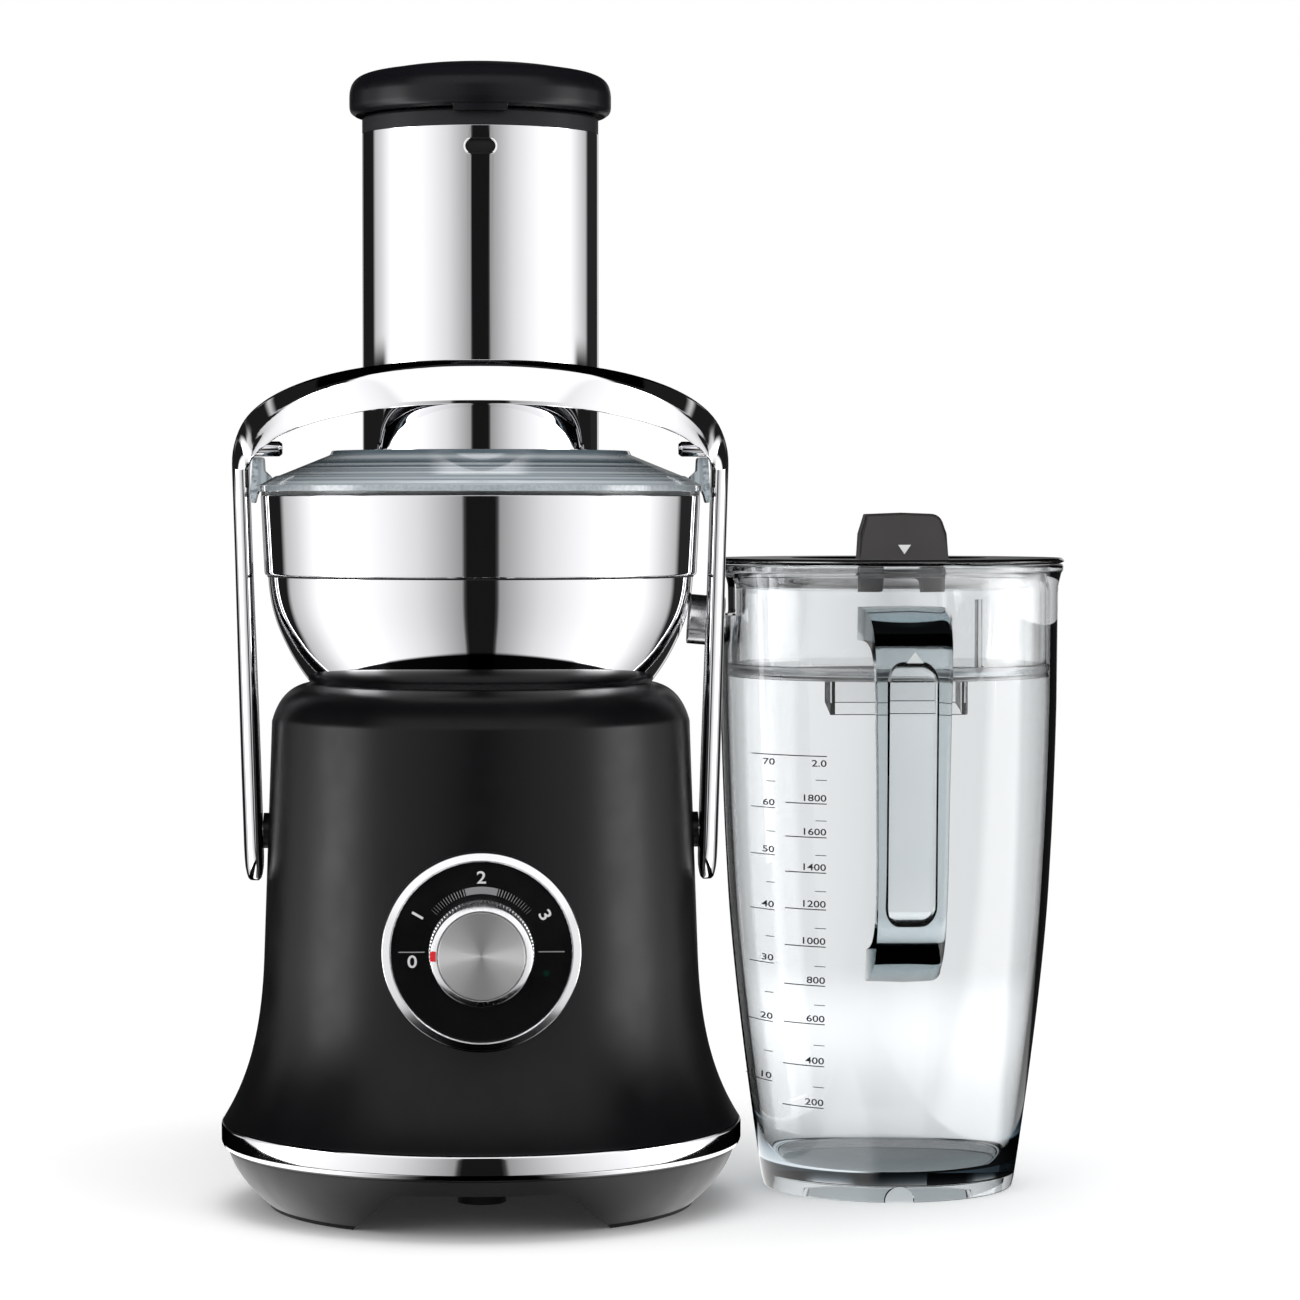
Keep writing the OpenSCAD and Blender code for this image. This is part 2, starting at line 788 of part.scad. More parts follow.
module filter_mesh() {
    z0 = disc_z;
    z1 = rim_low_z;
    color([0.8, 0.81, 0.83])
        rotate_extrude()
            polygon([[mesh_low_r, z0], [mesh_low_r + mesh_t, z0], [mesh_high_r + mesh_t, z1],
                [mesh_high_r, z1]]);
}

module basket_rim() {
    color([0.75, 0.76, 0.78])
        rotate_extrude()
            polygon([[mesh_high_r, rim_low_z], [basket_rim_r - 0.6, rim_low_z],
                [basket_rim_r, rim_low_z + 0.6], [basket_rim_r, rim_low_z + 3],
                [basket_rim_r - 0.6, rim_low_z + 3.5], [mesh_high_r, rim_low_z + 3.5]]);
}

// ---- bowl ----
// Side of the lower shell from the deck up, moved in by k
function bowl_side(k) =
    bez3([bowl_foot_r - k, deck_z], [bowl_foot_r + 9.9 - k, deck_z + 12.7],
        [bowl_mid_r - 0.9 - k, deck_z + bowl_shell_h - 21.4], [bowl_mid_r - k, bowl_step_z], 10);
band_low_r = bowl_rim_r - 1.5;

// The nozzle's tube as a solid rod, grown by k
module nozzle_rod(r, x0, x1) {
    translate([nozzle_end_x, nozzle_y, nozzle_z])
        rotate([0, nozzle_slope, 0])
            translate([x0 - nozzle_end_x, 0, 0])
                rotate([0, 90, 0]) cylinder(r = r, h = x1 - x0);
}

module bowl_shell() {
    color([0.85, 0.85, 0.87])
        difference() {
            rotate_extrude() polygon(concat(bowl_side(0), flip(bowl_side(skin_t))));
            nozzle_rod(nozzle_r, bowl_mid_r - 30, bowl_mid_r + 10);
        }
}

module bowl_band() {
    color([0.87, 0.87, 0.89])
        rotate_extrude()
            polygon([[bowl_mid_r - skin_t, bowl_step_z], [band_low_r - 0.6, bowl_step_z],
                [band_low_r, bowl_step_z + 0.8], [bowl_rim_r, bowl_rim_z],
                [bowl_rim_r - skin_t, bowl_rim_z], [band_low_r - skin_t, bowl_step_z + skin_t],
                [bowl_mid_r - skin_t, bowl_step_z + skin_t]]);
}

chimney_r = 17.5;
// Side of the liner, against the inside of the shell and the band
function liner_side(k) = concat(
    [for (p = bowl_side(skin_t + k)) [p[0], p[1]]],
    [[bowl_mid_r - skin_t - k, bowl_step_z + skin_t + k],
        [band_low_r - skin_t - k, bowl_step_z + skin_t + k * 0.9],
        [bowl_rim_r - skin_t - k, bowl_rim_z]]);

module bowl_liner() {
    color([0.2, 0.2, 0.22])
        difference() {
            union() {
                rotate_extrude()
                    polygon(concat(liner_side(0), flip(liner_side(liner_t))));
                // floor and the chimney round the drive
                intersection() {
                    tube(bowl_mid_r, chimney_r, liner_floor_z - 3, 3);
                    rotate_extrude()
                        polygon(concat(liner_side(0), [[0, bowl_rim_z], [0, deck_z]]));
                }
                tube(chimney_r + 2.4, chimney_r, deck_z, hub_z - deck_z - 1.2);
            }
            nozzle_rod(nozzle_r, bowl_mid_r - 30, bowl_mid_r + 10);
        }
}

module outlet_nozzle() {
    color([0.86, 0.86, 0.88])
        difference() {
            nozzle_rod(nozzle_r, bowl_mid_r - 12.5, nozzle_end_x);
            nozzle_rod(nozzle_r - nozzle_wall, bowl_mid_r - 20, nozzle_end_x + 2);
        }
}

// ---- cover and chute ----
// Top side of the cover from its rim up to its flat top, moved in by k
function dome_side(k) = [
    [cover_rim_r - k, cover_rim_z + 2.5 - k * 0.1], [cover_rim_r - 1.6 - k, cover_rim_z + 3.2 - k * 0.4],
    [cover_rim_r - 7.2 - k * 0.7, cover_rim_z + 6.5 - k * 0.8],
    [cover_flat_r - k * 0.4, cover_top_z - 1.4 - k * 0.95]];
spout_z = cover_top_z - 5.2;
spout_foot_z = bin_h + touch_gap;

// Outline of the pulp spout seen from above, moved in by k
module spout_outline(k) {
    translate([0, (spout_back_y + 20) / 2])
        round_rect(spout_half_w - k, (spout_back_y - 20) / 2 - k, 18 - k);
}

ear_half_w = 8;
module cover() {
    color([0.55, 0.62, 0.66, 0.5])
        difference() {
            union() {
                // dome with its raised flat ring
                rotate_extrude()
                    polygon(concat([[0, cover_rim_z], [cover_rim_r, cover_rim_z]], dome_side(0),
                        [[cover_flat_r - 0.4, cover_top_z], [0, cover_top_z]]));
                // spout back over the pulp container
                translate([0, 0, spout_foot_z])
                    linear_extrude(height = spout_z - spout_foot_z) spout_outline(0);
                // ears under the locking pins, each with a hook below the rim
                mirrored_x()
                    translate([0, ear_half_w, 0])
                        rotate([90, 0, 0])
                            linear_extrude(height = 2 * ear_half_w)
                                polygon([[cover_rim_r - 8, cover_rim_z + 1],
                                    [cover_rim_r - 6, cover_rim_z + 7.5],
                                    [cover_rim_r - 2.6, cover_rim_z + 10],
                                    [ear_r - 4.8, ear_top_z], [ear_r - 1.4, ear_top_z],
                                    [ear_r, cover_rim_z - 4], [ear_r - 1.8, cover_rim_z - 4.5],
                                    [cover_rim_r + 0.5, cover_rim_z - 1.5]]);
            }
            // hollow under the dome
            difference() {
                rotate_extrude()
                    polygon(concat([[0, cover_rim_z - 1], [cover_rim_r - cover_t - 1, cover_rim_z - 1]],
                        dome_side(cover_t), [[0, cover_top_z - 1.4 - cover_t * 0.95]]));
                mirrored_x()
                    translate([cover_rim_r - 4.5, -ear_half_w, cover_rim_z]) cube([9, 2 * ear_half_w, 9]);
            }
            // hollow of the spout
            translate([0, 0, spout_foot_z - 1])
                linear_extrude(height = spout_z - cover_t - spout_foot_z + 1)
                    spout_outline(cover_t);
            // room for the bowl
            translate([0, 0, spout_foot_z - 2])
                cylinder(r = bowl_rim_r + seat_gap, h = cover_rim_z - spout_foot_z + 2);
            cylinder(r = chute_out_r, h = 2 * cover_top_z);
        }
}

module cover_seal() {
    color([0.75, 0.75, 0.75, 0.8])
        tube(bowl_rim_r - 0.2, bowl_rim_r - 4, bowl_rim_z, cover_rim_z - bowl_rim_z);
}

module feed_chute() {
    color([0.5, 0.56, 0.6, 0.5])
        rotate_extrude()
            polygon([[chute_r, chute_foot_z + 1.2], [chute_r + 0.8, chute_foot_z],
                [chute_out_r, chute_foot_z], [chute_out_r, sleeve_top_z],
                [chute_r, sleeve_top_z]]);
}

key_z = sleeve_top_z - 8.5;
module chute_sleeve() {
    color([0.88, 0.88, 0.9])
        difference() {
            tube(sleeve_out_r, chute_out_r, cover_top_z, sleeve_h);
            // oblong locating slot near the top
            translate([0, 0, key_z])
                rotate([90, 0, 0])
                    linear_extrude(height = 80) {
                        square([6.8, 5.3], center = true);
                        for (x = [-3.4, 3.4]) translate([x, 0]) circle(r = 2.65);
                    }
        }
}

module chute_collar() {
    color([0.2, 0.2, 0.21])
        rotate_extrude()
            polygon([[chute_r, sleeve_top_z], [sleeve_out_r, sleeve_top_z],
                [sleeve_out_r, collar_top_z - 1], [sleeve_out_r - 1, collar_top_z],
                [chute_r + 1, collar_top_z], [chute_r, collar_top_z - 1]]);
}

// ---- pusher ----
pusher_r = chute_r - pusher_gap;
pusher_foot_z = disc_top_z + tooth_h + pusher_foot_gap;
pusher_wall = 2.4;
tab_half_w = 10.3;
module pusher_cap() {
    color([0.1, 0.1, 0.12])
        union() {
            rotate_extrude()
                polygon(concat([[0, cap_z]], [[cap_r - 2.4, cap_z]],
                    bez2([cap_r - 1.6, cap_z + 0.6], [cap_r, cap_z + 1.4], [cap_r, cap_z + 4], 3),
                    bez3([cap_r, cap_z + 8], [cap_r - 0.3, cap_z + 14.5],
                        [cap_r - 3.5, cap_z + 16.6], [cap_r - 12, cap_z + cap_h - 3.6], 7),
                    [[0.59 * cap_r, cap_z + cap_h - 2], [0.39 * cap_r, cap_z + cap_h - 0.5],
                        [0, cap_z + cap_h]]));
            // small tab at the front that meets the collar's mark
            translate([0, 0, cap_z - 2])
                linear_extrude(height = 4)
                    difference() {
                        intersection() {
                            circle(r = cap_r - 1.2);
                            translate([-tab_half_w, -cap_r]) square([2 * tab_half_w, cap_r / 2]);
                        }
                        circle(r = sleeve_out_r + touch_gap);
                    }
        }
}

module pusher_body() {
    color([0.45, 0.5, 0.54, 0.6])
        difference() {
            rotate_extrude()
                polygon(concat([[0, pusher_foot_z]],
                    bez2([pusher_r - 3, pusher_foot_z], [pusher_r, pusher_foot_z],
                        [pusher_r, pusher_foot_z + 3], 4),
                    [[pusher_r, cap_z], [0, cap_z]]));
            translate([0, 0, pusher_foot_z + 3])
                cylinder(r = pusher_r - pusher_wall, h = cap_z - pusher_foot_z - 3 + 1);
        }
}

// ---- locking arm ----
handle_steps = 32;
ring_n = 20;
// Centre line of the handle at angle f, from -90 at the left arm to 90 at the right
function bow_lift(f) = pow(max(cos(f), 0), 0.816);
function bow_point(f) = [
    arm_top_x * signed_pow(sin(f), 0.816),
    -handle_bow * pow(bow_lift(f), 2.2),
    handle_z + handle_rise * bow_lift(f) - (handle_h / 2 - 8.7) * bow_lift(f)];
function bow_tangent(f) = f <= -90 ? [0, 0, 1] : f >= 90 ? [0, 0, -1]
    : unit(bow_point(min(f + 1, 90)) - bow_point(max(f - 1, -90)));
function bow_ring(f) =
    let (
        p = bow_point(f),
        t = bow_tangent(f),
        out = [p[0], 0, (p[2] - handle_z) * 2.6 + eps],
        u = unit(out - (out * t) * t),
        b = cross(t, u),
        k = pow(bow_lift(f), 1.3))
    ring3(p, u, b, arm_t / 2 + (handle_h / 2 - arm_t / 2) * k,
        arm_w / 2 + (handle_t / 2 - arm_w / 2) * k, ring_n);

module handle_solid() {
    loft([for (i = [0:handle_steps]) bow_ring(-90 + 180 * i / handle_steps)]);
}

module arm_handle() {
    color([0.88, 0.88, 0.9]) handle_solid();
}

// Side bar on the right: sections from the handle down past the pivot
arm_length = handle_z - pivot_z;
function bar_x(z) = arm_foot_x + (arm_top_x - arm_foot_x) * (z - pivot_z) / arm_length;
function bar_ring(z, half_w, half_t) =
    ring3([bar_x(z), 0, z], [1, 0, 0], [0, -1, 0], half_t, half_w, ring_n);
module arm_bar() {
    mid_w = (arm_w + arm_foot_w) / 4;
    difference() {
        loft([bar_ring(handle_z, arm_w / 2, arm_t / 2),
            bar_ring(handle_z - arm_length / 3, arm_w / 2 + 0.3, arm_t / 2),
            bar_ring(pivot_z + arm_length / 3, mid_w, arm_foot_t / 2),
            bar_ring(pivot_z + 12, arm_foot_w / 2, arm_foot_t / 2),
            bar_ring(pivot_z - 8, arm_foot_w / 2, arm_foot_t / 2),
            bar_ring(pivot_z - 14, arm_foot_w / 2 - 2, arm_foot_t / 2 - 0.3),
            bar_ring(pivot_z - 18, arm_foot_w / 2 - 5, arm_foot_t / 2 - 0.9),
            bar_ring(pivot_z - arm_tail, arm_foot_w / 2 - 9, arm_foot_t / 2 - 2.2)]);
        x_rod(pivot_r + run_gap, boss_end_x - 1, boss_end_x + 6.4, 0, pivot_z);
    }
}

module arm_right() {
    color([0.88, 0.88, 0.9]) arm_bar();
}

module arm_left() {
    color([0.88, 0.88, 0.9]) mirror([1, 0, 0]) arm_bar();
}

lock_pin_y = -2;
lock_pin_in_x = arm_top_x - arm_t / 2 - 1.2 - lock_pin_reach;
module locking_pins() {
    color([0.88, 0.88, 0.9])
        difference() {
            mirrored_x() {
                x_rod(lock_pin_r, lock_pin_in_x + lock_pin_r, arm_top_x - 2, lock_pin_y, lock_pin_z);
                translate([lock_pin_in_x + lock_pin_r, lock_pin_y, lock_pin_z]) sphere(r = lock_pin_r);
            }
            handle_solid();
        }
}

// ---- jug ----
// Outer side of the jug from its foot to its rim, moved in by k
function jug_side(k) = concat(
    bez3([jug_foot_r + 0.2 - k, 4], [jug_foot_r + 6.4 - k, 0.17 * jug_h],
        [jug_top_r - 5 - k, 0.37 * jug_h], [jug_top_r - 3.3 - k, jug_h / 2], 9),
    bez2([jug_top_r - 2.3 - k, 0.57 * jug_h], [jug_top_r - 0.9 - k, 0.69 * jug_h],
        [jug_top_r - 0.4 - k, 0.78 * jug_h], 3),
    [[jug_top_r - k, jug_h - 12]]);

// The U-shaped inlet that the nozzle passes through
module inlet_cut(half_w, r, x0, x1) {
    translate([x0, jug_y, 0])
        rotate([90, 0, 90])
            linear_extrude(height = x1 - x0) {
                translate([-half_w, nozzle_z + 3]) square([2 * half_w, jug_h - 5 - nozzle_z - 3]);
                translate([0, nozzle_z - 0.6]) circle(r = r);
                translate([-r, nozzle_z - 0.6]) square([2 * r, 8]);
            }
}

module jug_form(k) {
    rotate_extrude()
        polygon(concat([[0, 0], [jug_foot_r - 1 - k, 0]], jug_side(k),
            [[jug_top_r - k, jug_h], [0, jug_h]]));
}

module jug_body() {
    color([0.62, 0.7, 0.74, 0.4])
        difference() {
            translate([jug_x, jug_y, 0])
                difference() {
                    union() {
                        jug_form(0);
                        // turned-out rim
                        rotate_extrude()
                            polygon([[jug_top_r - 1, jug_h - 11], [jug_top_r, jug_h - 9],
                                [jug_rim_r - 0.8, jug_h - 3.6], [jug_rim_r, jug_h - 2.4],
                                [jug_rim_r, jug_h], [jug_top_r - 1, jug_h]]);
                    }
                    // open inside, and the foot is a part of its own
                    jug_form(jug_t);
                    translate([0, 0, jug_h - 15]) cylinder(r = jug_in_r, h = 20);
                    translate([0, 0, -1]) cylinder(r = 2 * jug_foot_r, h = jug_floor_z + 1);
                }
            inlet_cut(26, nozzle_r + inlet_gap, jug_x - 2 * jug_in_r, jug_x - jug_in_r / 2);
        }
}

jug_floor_z = jug_foot_h + jug_floor_t;
// Floor of the jug and the ring that it stands on
module jug_foot() {
    color([0.62, 0.7, 0.74, 0.4])
        translate([jug_x, jug_y, 0])
            difference() {
                intersection() {
                    jug_form(0);
                    cylinder(r = 2 * jug_foot_r, h = jug_floor_z);
                }
                // hollow under the floor
                translate([0, 0, -1]) cylinder(r = jug_foot_r - 5, h = jug_foot_h + 1);
                // half-round notch at the front
                y_rod(6, -2 * jug_foot_r, -jug_foot_r / 2, 0, 0.8);
            }
}

grip_top_z = jug_h - 26;
grip_low_z = 0.4 * jug_h;
// Jug handle: a bar swept from its upper root, down the front, to its lower root
module jug_handle() {
    y_wall = -jug_top_r;
    path = concat(
        bez3([y_wall + 4, grip_top_z + 3], [y_wall - jug_grip_reach + 14, grip_top_z + 4],
            [y_wall - jug_grip_reach - 1, grip_top_z + 1],
            [y_wall - jug_grip_reach + 1, grip_top_z - 26], 8),
        bez3([y_wall - jug_grip_reach + 4, grip_low_z + 40], [y_wall - jug_grip_reach + 7, grip_low_z + 10],
            [y_wall - jug_grip_reach + 16, grip_low_z - 2], [y_wall + 9, grip_low_z - 6], 8));
    n = len(path);
    color([0.6, 0.68, 0.72, 0.5])
        translate([jug_x, jug_y, 0])
            difference() {
                loft([for (i = [0:n - 1])
                    let (
                        a = path[max(i - 1, 0)],
                        c = path[min(i + 1, n - 1)],
                        t = unit([0, c[0] - a[0], c[1] - a[1]]),
                        s = i / (n - 1),
                        half_w = jug_grip_w / 2 * (1 + 0.35 * pow(1 - s, 6)) - 2.4 * s,
                        half_d = 5.2 + 3 * pow(1 - s, 8) + 2 * pow(s, 10))
                    ring3([0, path[i][0], path[i][1]], [1, 0, 0], cross([1, 0, 0], t),
                        half_w, half_d, 20)]);
                jug_form(0);
            }
}

separator_z = jug_h - separator_depth;
separator_t = 1.8;
module froth_separator() {
    color([0.66, 0.72, 0.75, 0.4])
        difference() {
            translate([jug_x, jug_y, 0])
                union() {
                    // wall
                    tube(separator_r, separator_r - separator_t, separator_z + 3,
                        jug_h - separator_z - 7);
                    // flange on which the lid rests
                    tube(separator_r + 0.6, separator_r - 3, jug_h - 4, 3);
                    // floor with the outlet on the handle's side
                    difference() {
                        translate([0, 0, separator_z + 3]) cylinder(r = separator_r, h = 2);
                        translate([-26, -44, separator_z]) cube([52, 26, 8]);
                    }
                    // outlet box below the floor
                    difference() {
                        translate([-28, -46, separator_z - 13]) cube([56, 30, 16]);
                        translate([-26, -44, separator_z - 14]) cube([52, 26, 20]);
                    }
                }
            inlet_cut(22, nozzle_r + 1.6, jug_x - 2 * jug_in_r, jug_x - jug_in_r / 2);
        }
}

module separator_seal() {
    color([0.6, 0.62, 0.63, 0.7])
        translate([jug_x, jug_y, 0])
            tube(separator_r + 1.2, separator_r, separator_z + 3.2, 5.6);
}

grip_y = -jug_top_r + 5;
lid_dish_r = 40;
module jug_lid() {
    color([0.6, 0.66, 0.7, 0.5])
        translate([jug_x, jug_y, 0])
            rotate_extrude()
                polygon([[0, lid_z], [jug_rim_r - 1, lid_z], [jug_rim_r + 0.3, lid_z + 0.8],
                    [jug_rim_r + 0.3, lid_z + 1.4], [jug_rim_r - 0.8, lid_z + lid_t],
                    [lid_dish_r + 1, lid_z + lid_t], [lid_dish_r, lid_z + lid_t - 1],
                    [0, lid_z + lid_t - 1]]);
}

lid_grip_w = 36;
module lid_grip() {
    arch_h_top = 19;
    color([0.33, 0.31, 0.3])
        translate([jug_x, jug_y, 0])
            difference() {
                // arched block that stands on the lid's front edge
                translate([0, grip_y + 20, lid_z + lid_t])
                    rotate([90, 0, 0])
                        linear_extrude(height = 20)
                            polygon(concat([[lid_grip_w / 2, 0]],
                                bez3([lid_grip_w / 2 - 0.6, 9], [lid_grip_w / 2 - 1.5, arch_h_top - 1],
                                    [lid_grip_w / 2 - 8, arch_h_top], [0, arch_h_top], 6),
                                bez3([0, arch_h_top], [8 - lid_grip_w / 2, arch_h_top],
                                    [1.5 - lid_grip_w / 2, arch_h_top - 1], [0.6 - lid_grip_w / 2, 9], 6),
                                [[-lid_grip_w / 2, 0]]));
                // finger hollow behind the front wall
                translate([0, grip_y + 21, lid_z + lid_t])
                    rotate([90, 0, 0])
                        linear_extrude(height = 17)
                            polygon([[lid_grip_w / 2 - 3.4, -1], [lid_grip_w / 2 - 4, 10],
                                [lid_grip_w / 2 - 8, arch_h_top - 3.2],
                                [8 - lid_grip_w / 2, arch_h_top - 3.2],
                                [4 - lid_grip_w / 2, 10], [3.4 - lid_grip_w / 2, -1]]);
            }
}

// ---- pulp container ----
bin_front_r = max(flare_r + 2.2, bowl_rim_r + 3);
// Tapered body of the container, its outline moved in by k
module bin_form(k, z0, z1) {
    front_y = 84;
    mid_y = (front_y + bin_back_y) / 2;
    half_y = (bin_back_y - front_y) / 2;
    difference() {
        hull() {
            translate([0, mid_y, z0])
                linear_extrude(height = 0.1)
                    round_rect(bin_half_w - 5 - k, half_y - 4 - k, 24 - k, $fn = 32);
            translate([0, mid_y, z1 - 0.1])
                linear_extrude(height = 0.1) round_rect(bin_half_w - 2.2 - k, half_y - k, 24 - k, $fn = 32);
        }
        translate([0, 0, z0 - 1]) cylinder(r = bin_front_r + k, h = z1 - z0 + 2);
    }
}

module pulp_container() {
    color([0.45, 0.5, 0.54, 0.6])
        difference() {
            union() {
                bin_form(0, 0, bin_h);
                // turned-out rim
                translate([0, 0, bin_h - 4]) bin_form(-2.2, 0, 4);
            }
            translate([0, 0, bin_t]) bin_form(bin_t, 0, bin_h + 1);
        }
}

motor_housing();
trim_band();
base_skirt();
foot_strip();
base_plate();
base_screws();
cord_gland();
dial_bezel();
dial_face();
indicator_lens();
speed_knob();
knob_face();
dial_spindle();
speed_switch();
control_board();
safety_switch();
pivot_bosses();
pivot_pins();
shaft_seal();
upper_bracket();
lower_bracket();
motor_mounts();
stator_bolts();
bearings();
stator_core();
field_windings();
brush_holders();
motor_shaft();
armature_core();
armature_windings();
commutator();
cooling_fan();
drive_coupling();
basket_hub();
grating_disc();
filter_mesh();
basket_rim();
bowl_shell();
bowl_band();
bowl_liner();
outlet_nozzle();
cover();
cover_seal();
feed_chute();
chute_sleeve();
chute_collar();
pusher_cap();
pusher_body();
arm_left();
arm_right();
arm_handle();
locking_pins();
jug_body();
jug_foot();
jug_handle();
froth_separator();
separator_seal();
jug_lid();
lid_grip();
pulp_container();
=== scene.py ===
import math

import bmesh
import bpy
from bpy.props import FloatProperty, FloatVectorProperty, IntProperty, PointerProperty
from mathutils import Matrix, Vector


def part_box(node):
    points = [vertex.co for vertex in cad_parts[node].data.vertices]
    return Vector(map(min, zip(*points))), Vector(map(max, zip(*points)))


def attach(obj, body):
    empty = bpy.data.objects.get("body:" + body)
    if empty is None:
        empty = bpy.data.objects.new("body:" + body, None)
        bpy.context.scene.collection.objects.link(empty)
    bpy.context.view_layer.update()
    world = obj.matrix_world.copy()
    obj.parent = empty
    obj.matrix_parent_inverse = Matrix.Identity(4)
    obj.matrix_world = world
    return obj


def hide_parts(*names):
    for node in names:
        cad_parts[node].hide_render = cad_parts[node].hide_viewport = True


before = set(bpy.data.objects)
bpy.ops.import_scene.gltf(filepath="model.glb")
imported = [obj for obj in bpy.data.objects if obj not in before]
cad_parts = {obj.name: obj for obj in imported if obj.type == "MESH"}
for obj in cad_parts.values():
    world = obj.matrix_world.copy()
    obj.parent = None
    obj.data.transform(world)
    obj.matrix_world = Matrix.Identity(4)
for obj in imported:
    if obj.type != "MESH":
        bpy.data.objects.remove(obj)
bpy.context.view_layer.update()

bl_info = {
    "name": "Juicer Pieces",
    "version": (1, 0, 0),
    "blender": (4, 5, 0),
    "location": "3D View > Sidebar > Juicer",
    "description": "Builds the visible pieces of a centrifugal juicer round its packed frame",
    "category": "Object",
}

MM = 0.001
X, Y, Z = 0, 1, 2


def low(node, axis):
    """Lowest coordinate of a frame node, in millimetres."""
    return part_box(node)[0][axis] / MM


def high(node, axis):
    """Highest coordinate of a frame node, in millimetres."""
    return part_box(node)[1][axis] / MM


def mid(node, axis):
    return (low(node, axis) + high(node, axis)) / 2


def half_size(node, axis):
    return (high(node, axis) - low(node, axis)) / 2


# ---- places taken from the frame, in millimetres ----
SKIRT_TOP = high("base_skirt", Z)
BAND_TOP = high("trim_band", Z)
FLARE_R = high("trim_band", X) - 0.3
FOOT_R = FLARE_R - 18.3
DECK = low("bowl_shell", Z)
BOWL_STEP = low("bowl_band", Z)
BOWL_RIM = high("bowl_band", Z)
BOWL_R = high("bowl_band", X)
SHELL_R = high("bowl_shell", X)
COVER_RIM_R = BOWL_R + 1
COVER_TOP = low("chute_sleeve", Z)
SLEEVE_TOP = high("chute_sleeve", Z)
SLEEVE_R = high("chute_sleeve", X)
COLLAR_TOP = high("chute_collar", Z)
CAP_TOP = high("pusher_cap", Z)
CAP_R = high("pusher_cap", X)
DIAL_Z = mid("dial_bezel", Z)
BEZEL_R = high("dial_bezel", X)
DIAL_FACE_Y = low("dial_face", Y)
KNOB_R = high("speed_knob", X)
KNOB_BACK_Y = DIAL_FACE_Y - 0.3
KNOB_FRONT_Y = low("knob_face", Y)
ARM_TOP_Z = high("arm_right", Z)
ARM_OUT_X = high("arm_handle", X)
ARM_LOW_Z = low("arm_right", Z)
HANDLE_FRONT = low("arm_handle", Y)
JUG_TOP = high("jug_body", Z)
JUG_RIM_R = half_size("jug_body", X)
JUG_X = mid("jug_body", X)
JUG_Y = high("jug_body", Y) - JUG_RIM_R
JUG_R = JUG_RIM_R - 2.2
NOZZLE_END_X = high("outlet_nozzle", X)
NOZZLE_Y = mid("outlet_nozzle", Y)
NOZZLE_Z = DECK + 23.9
INLET_X = (-130, -30)
LID_LOW = low("jug_lid", Z)
LID_TOP = high("jug_lid", Z)
LID_R = half_size("jug_lid", X)
GRIP_TOP = high("lid_grip", Z)
BIN_TOP = high("pulp_container", Z)
BIN_BACK = high("pulp_container", Y) - 2.2
BIN_HALF = high("pulp_container", X) - 2.2
SPOUT_HALF = 64.0
CHUTE_BORE_R = 44.45
CHUTE_HOLE_R = 47.15
SPOUT_BACK = high("cover", Y)


def rgb(red, green, blue):
    """A colour as a screen shows it, 0 to 255, as the light values that shaders use."""
    def lit(value):
        share = value / 255
        return share / 12.92 if share <= 0.04045 else ((share + 0.055) / 1.055) ** 2.4
    return lit(red), lit(green), lit(blue)


def colour(label, note, default):
    return FloatVectorProperty(name=label, description=note, default=default, size=3,
                               min=0.0, max=1.0, subtype="COLOR")


def length(label, note, default):
    return FloatProperty(name=label, description=note, default=default * MM, min=0.0,
                         unit="LENGTH", subtype="DISTANCE", precision=5)


class JuicerColours(bpy.types.PropertyGroup):
    """Colours of the finishes"""
    housing: colour("Housing", "Matte moulding of the motor base", rgb(13, 13, 15))
    skirt: colour("Skirt", "Moulding under the polished band", rgb(40, 40, 41))
    steel: colour("Steel", "Polished steel of bowl, sleeve and arm", rgb(245, 245, 247))
    satin: colour("Satin steel", "Brushed steel of basket and knob", rgb(206, 207, 210))
    cap: colour("Cap", "Satin cap of the pusher", rgb(20, 20, 24))
    collar: colour("Collar", "Collar on the feed chute", rgb(44, 44, 46))
    face: colour("Dial face", "Disc behind the knob", rgb(14, 14, 15))
    prints: colour("Dial print", "Marks and figures on the dial", rgb(225, 225, 226))
    pointer: colour("Knob mark", "Mark on the rim of the knob", rgb(220, 30, 38))
    lamp: colour("Indicator", "Lens of the overload lamp", rgb(8, 44, 34))
    clear: colour("Clear tint", "Tint that thick clear plastic takes on", rgb(104, 140, 156))
    smoke: colour("Smoke tint", "Tint of the pulp container", rgb(70, 76, 80))
    grip: colour("Lid grip", "Soft plastic of the lid's grip", rgb(50, 48, 47))
    scale: colour("Graduations", "Printed scale on the jug", rgb(40, 42, 46))


class JuicerSizes(bpy.types.PropertyGroup):
    """Sizes that a user may change"""
    turns: IntProperty(name="Steps round", description="Faces round a large turned piece",
                       default=168, min=48, max=360)
    flutes: IntProperty(name="Flutes", description="Flutes round the knob", default=90,
                        min=30, max=120)
    flute_depth: length("Flute depth", "Depth of a flute on the knob", 0.45)
    skin: length("Clear wall", "Wall of the clear cover", 2.5)
    jug_wall: length("Jug wall", "Wall of the jug", 3.0)
    figure: length("Figure height", "Height of the figures on the jug", 2.7)
    dial_figure: length("Dial figure height", "Height of the figures on the dial", 4.8)
    print_depth: length("Print", "Thickness of a printed mark", 0.06)


# ---- outlines and solids, in millimetres ----
def bezier(points, steps):
    """Points along a Bezier curve of any order."""
    line = []
    for i in range(steps + 1):
        share = i / steps
        level = [Vector(p) for p in points]
        while len(level) > 1:
            level = [a.lerp(b, share) for a, b in zip(level, level[1:])]
        line.append(tuple(level[0]))
    return line


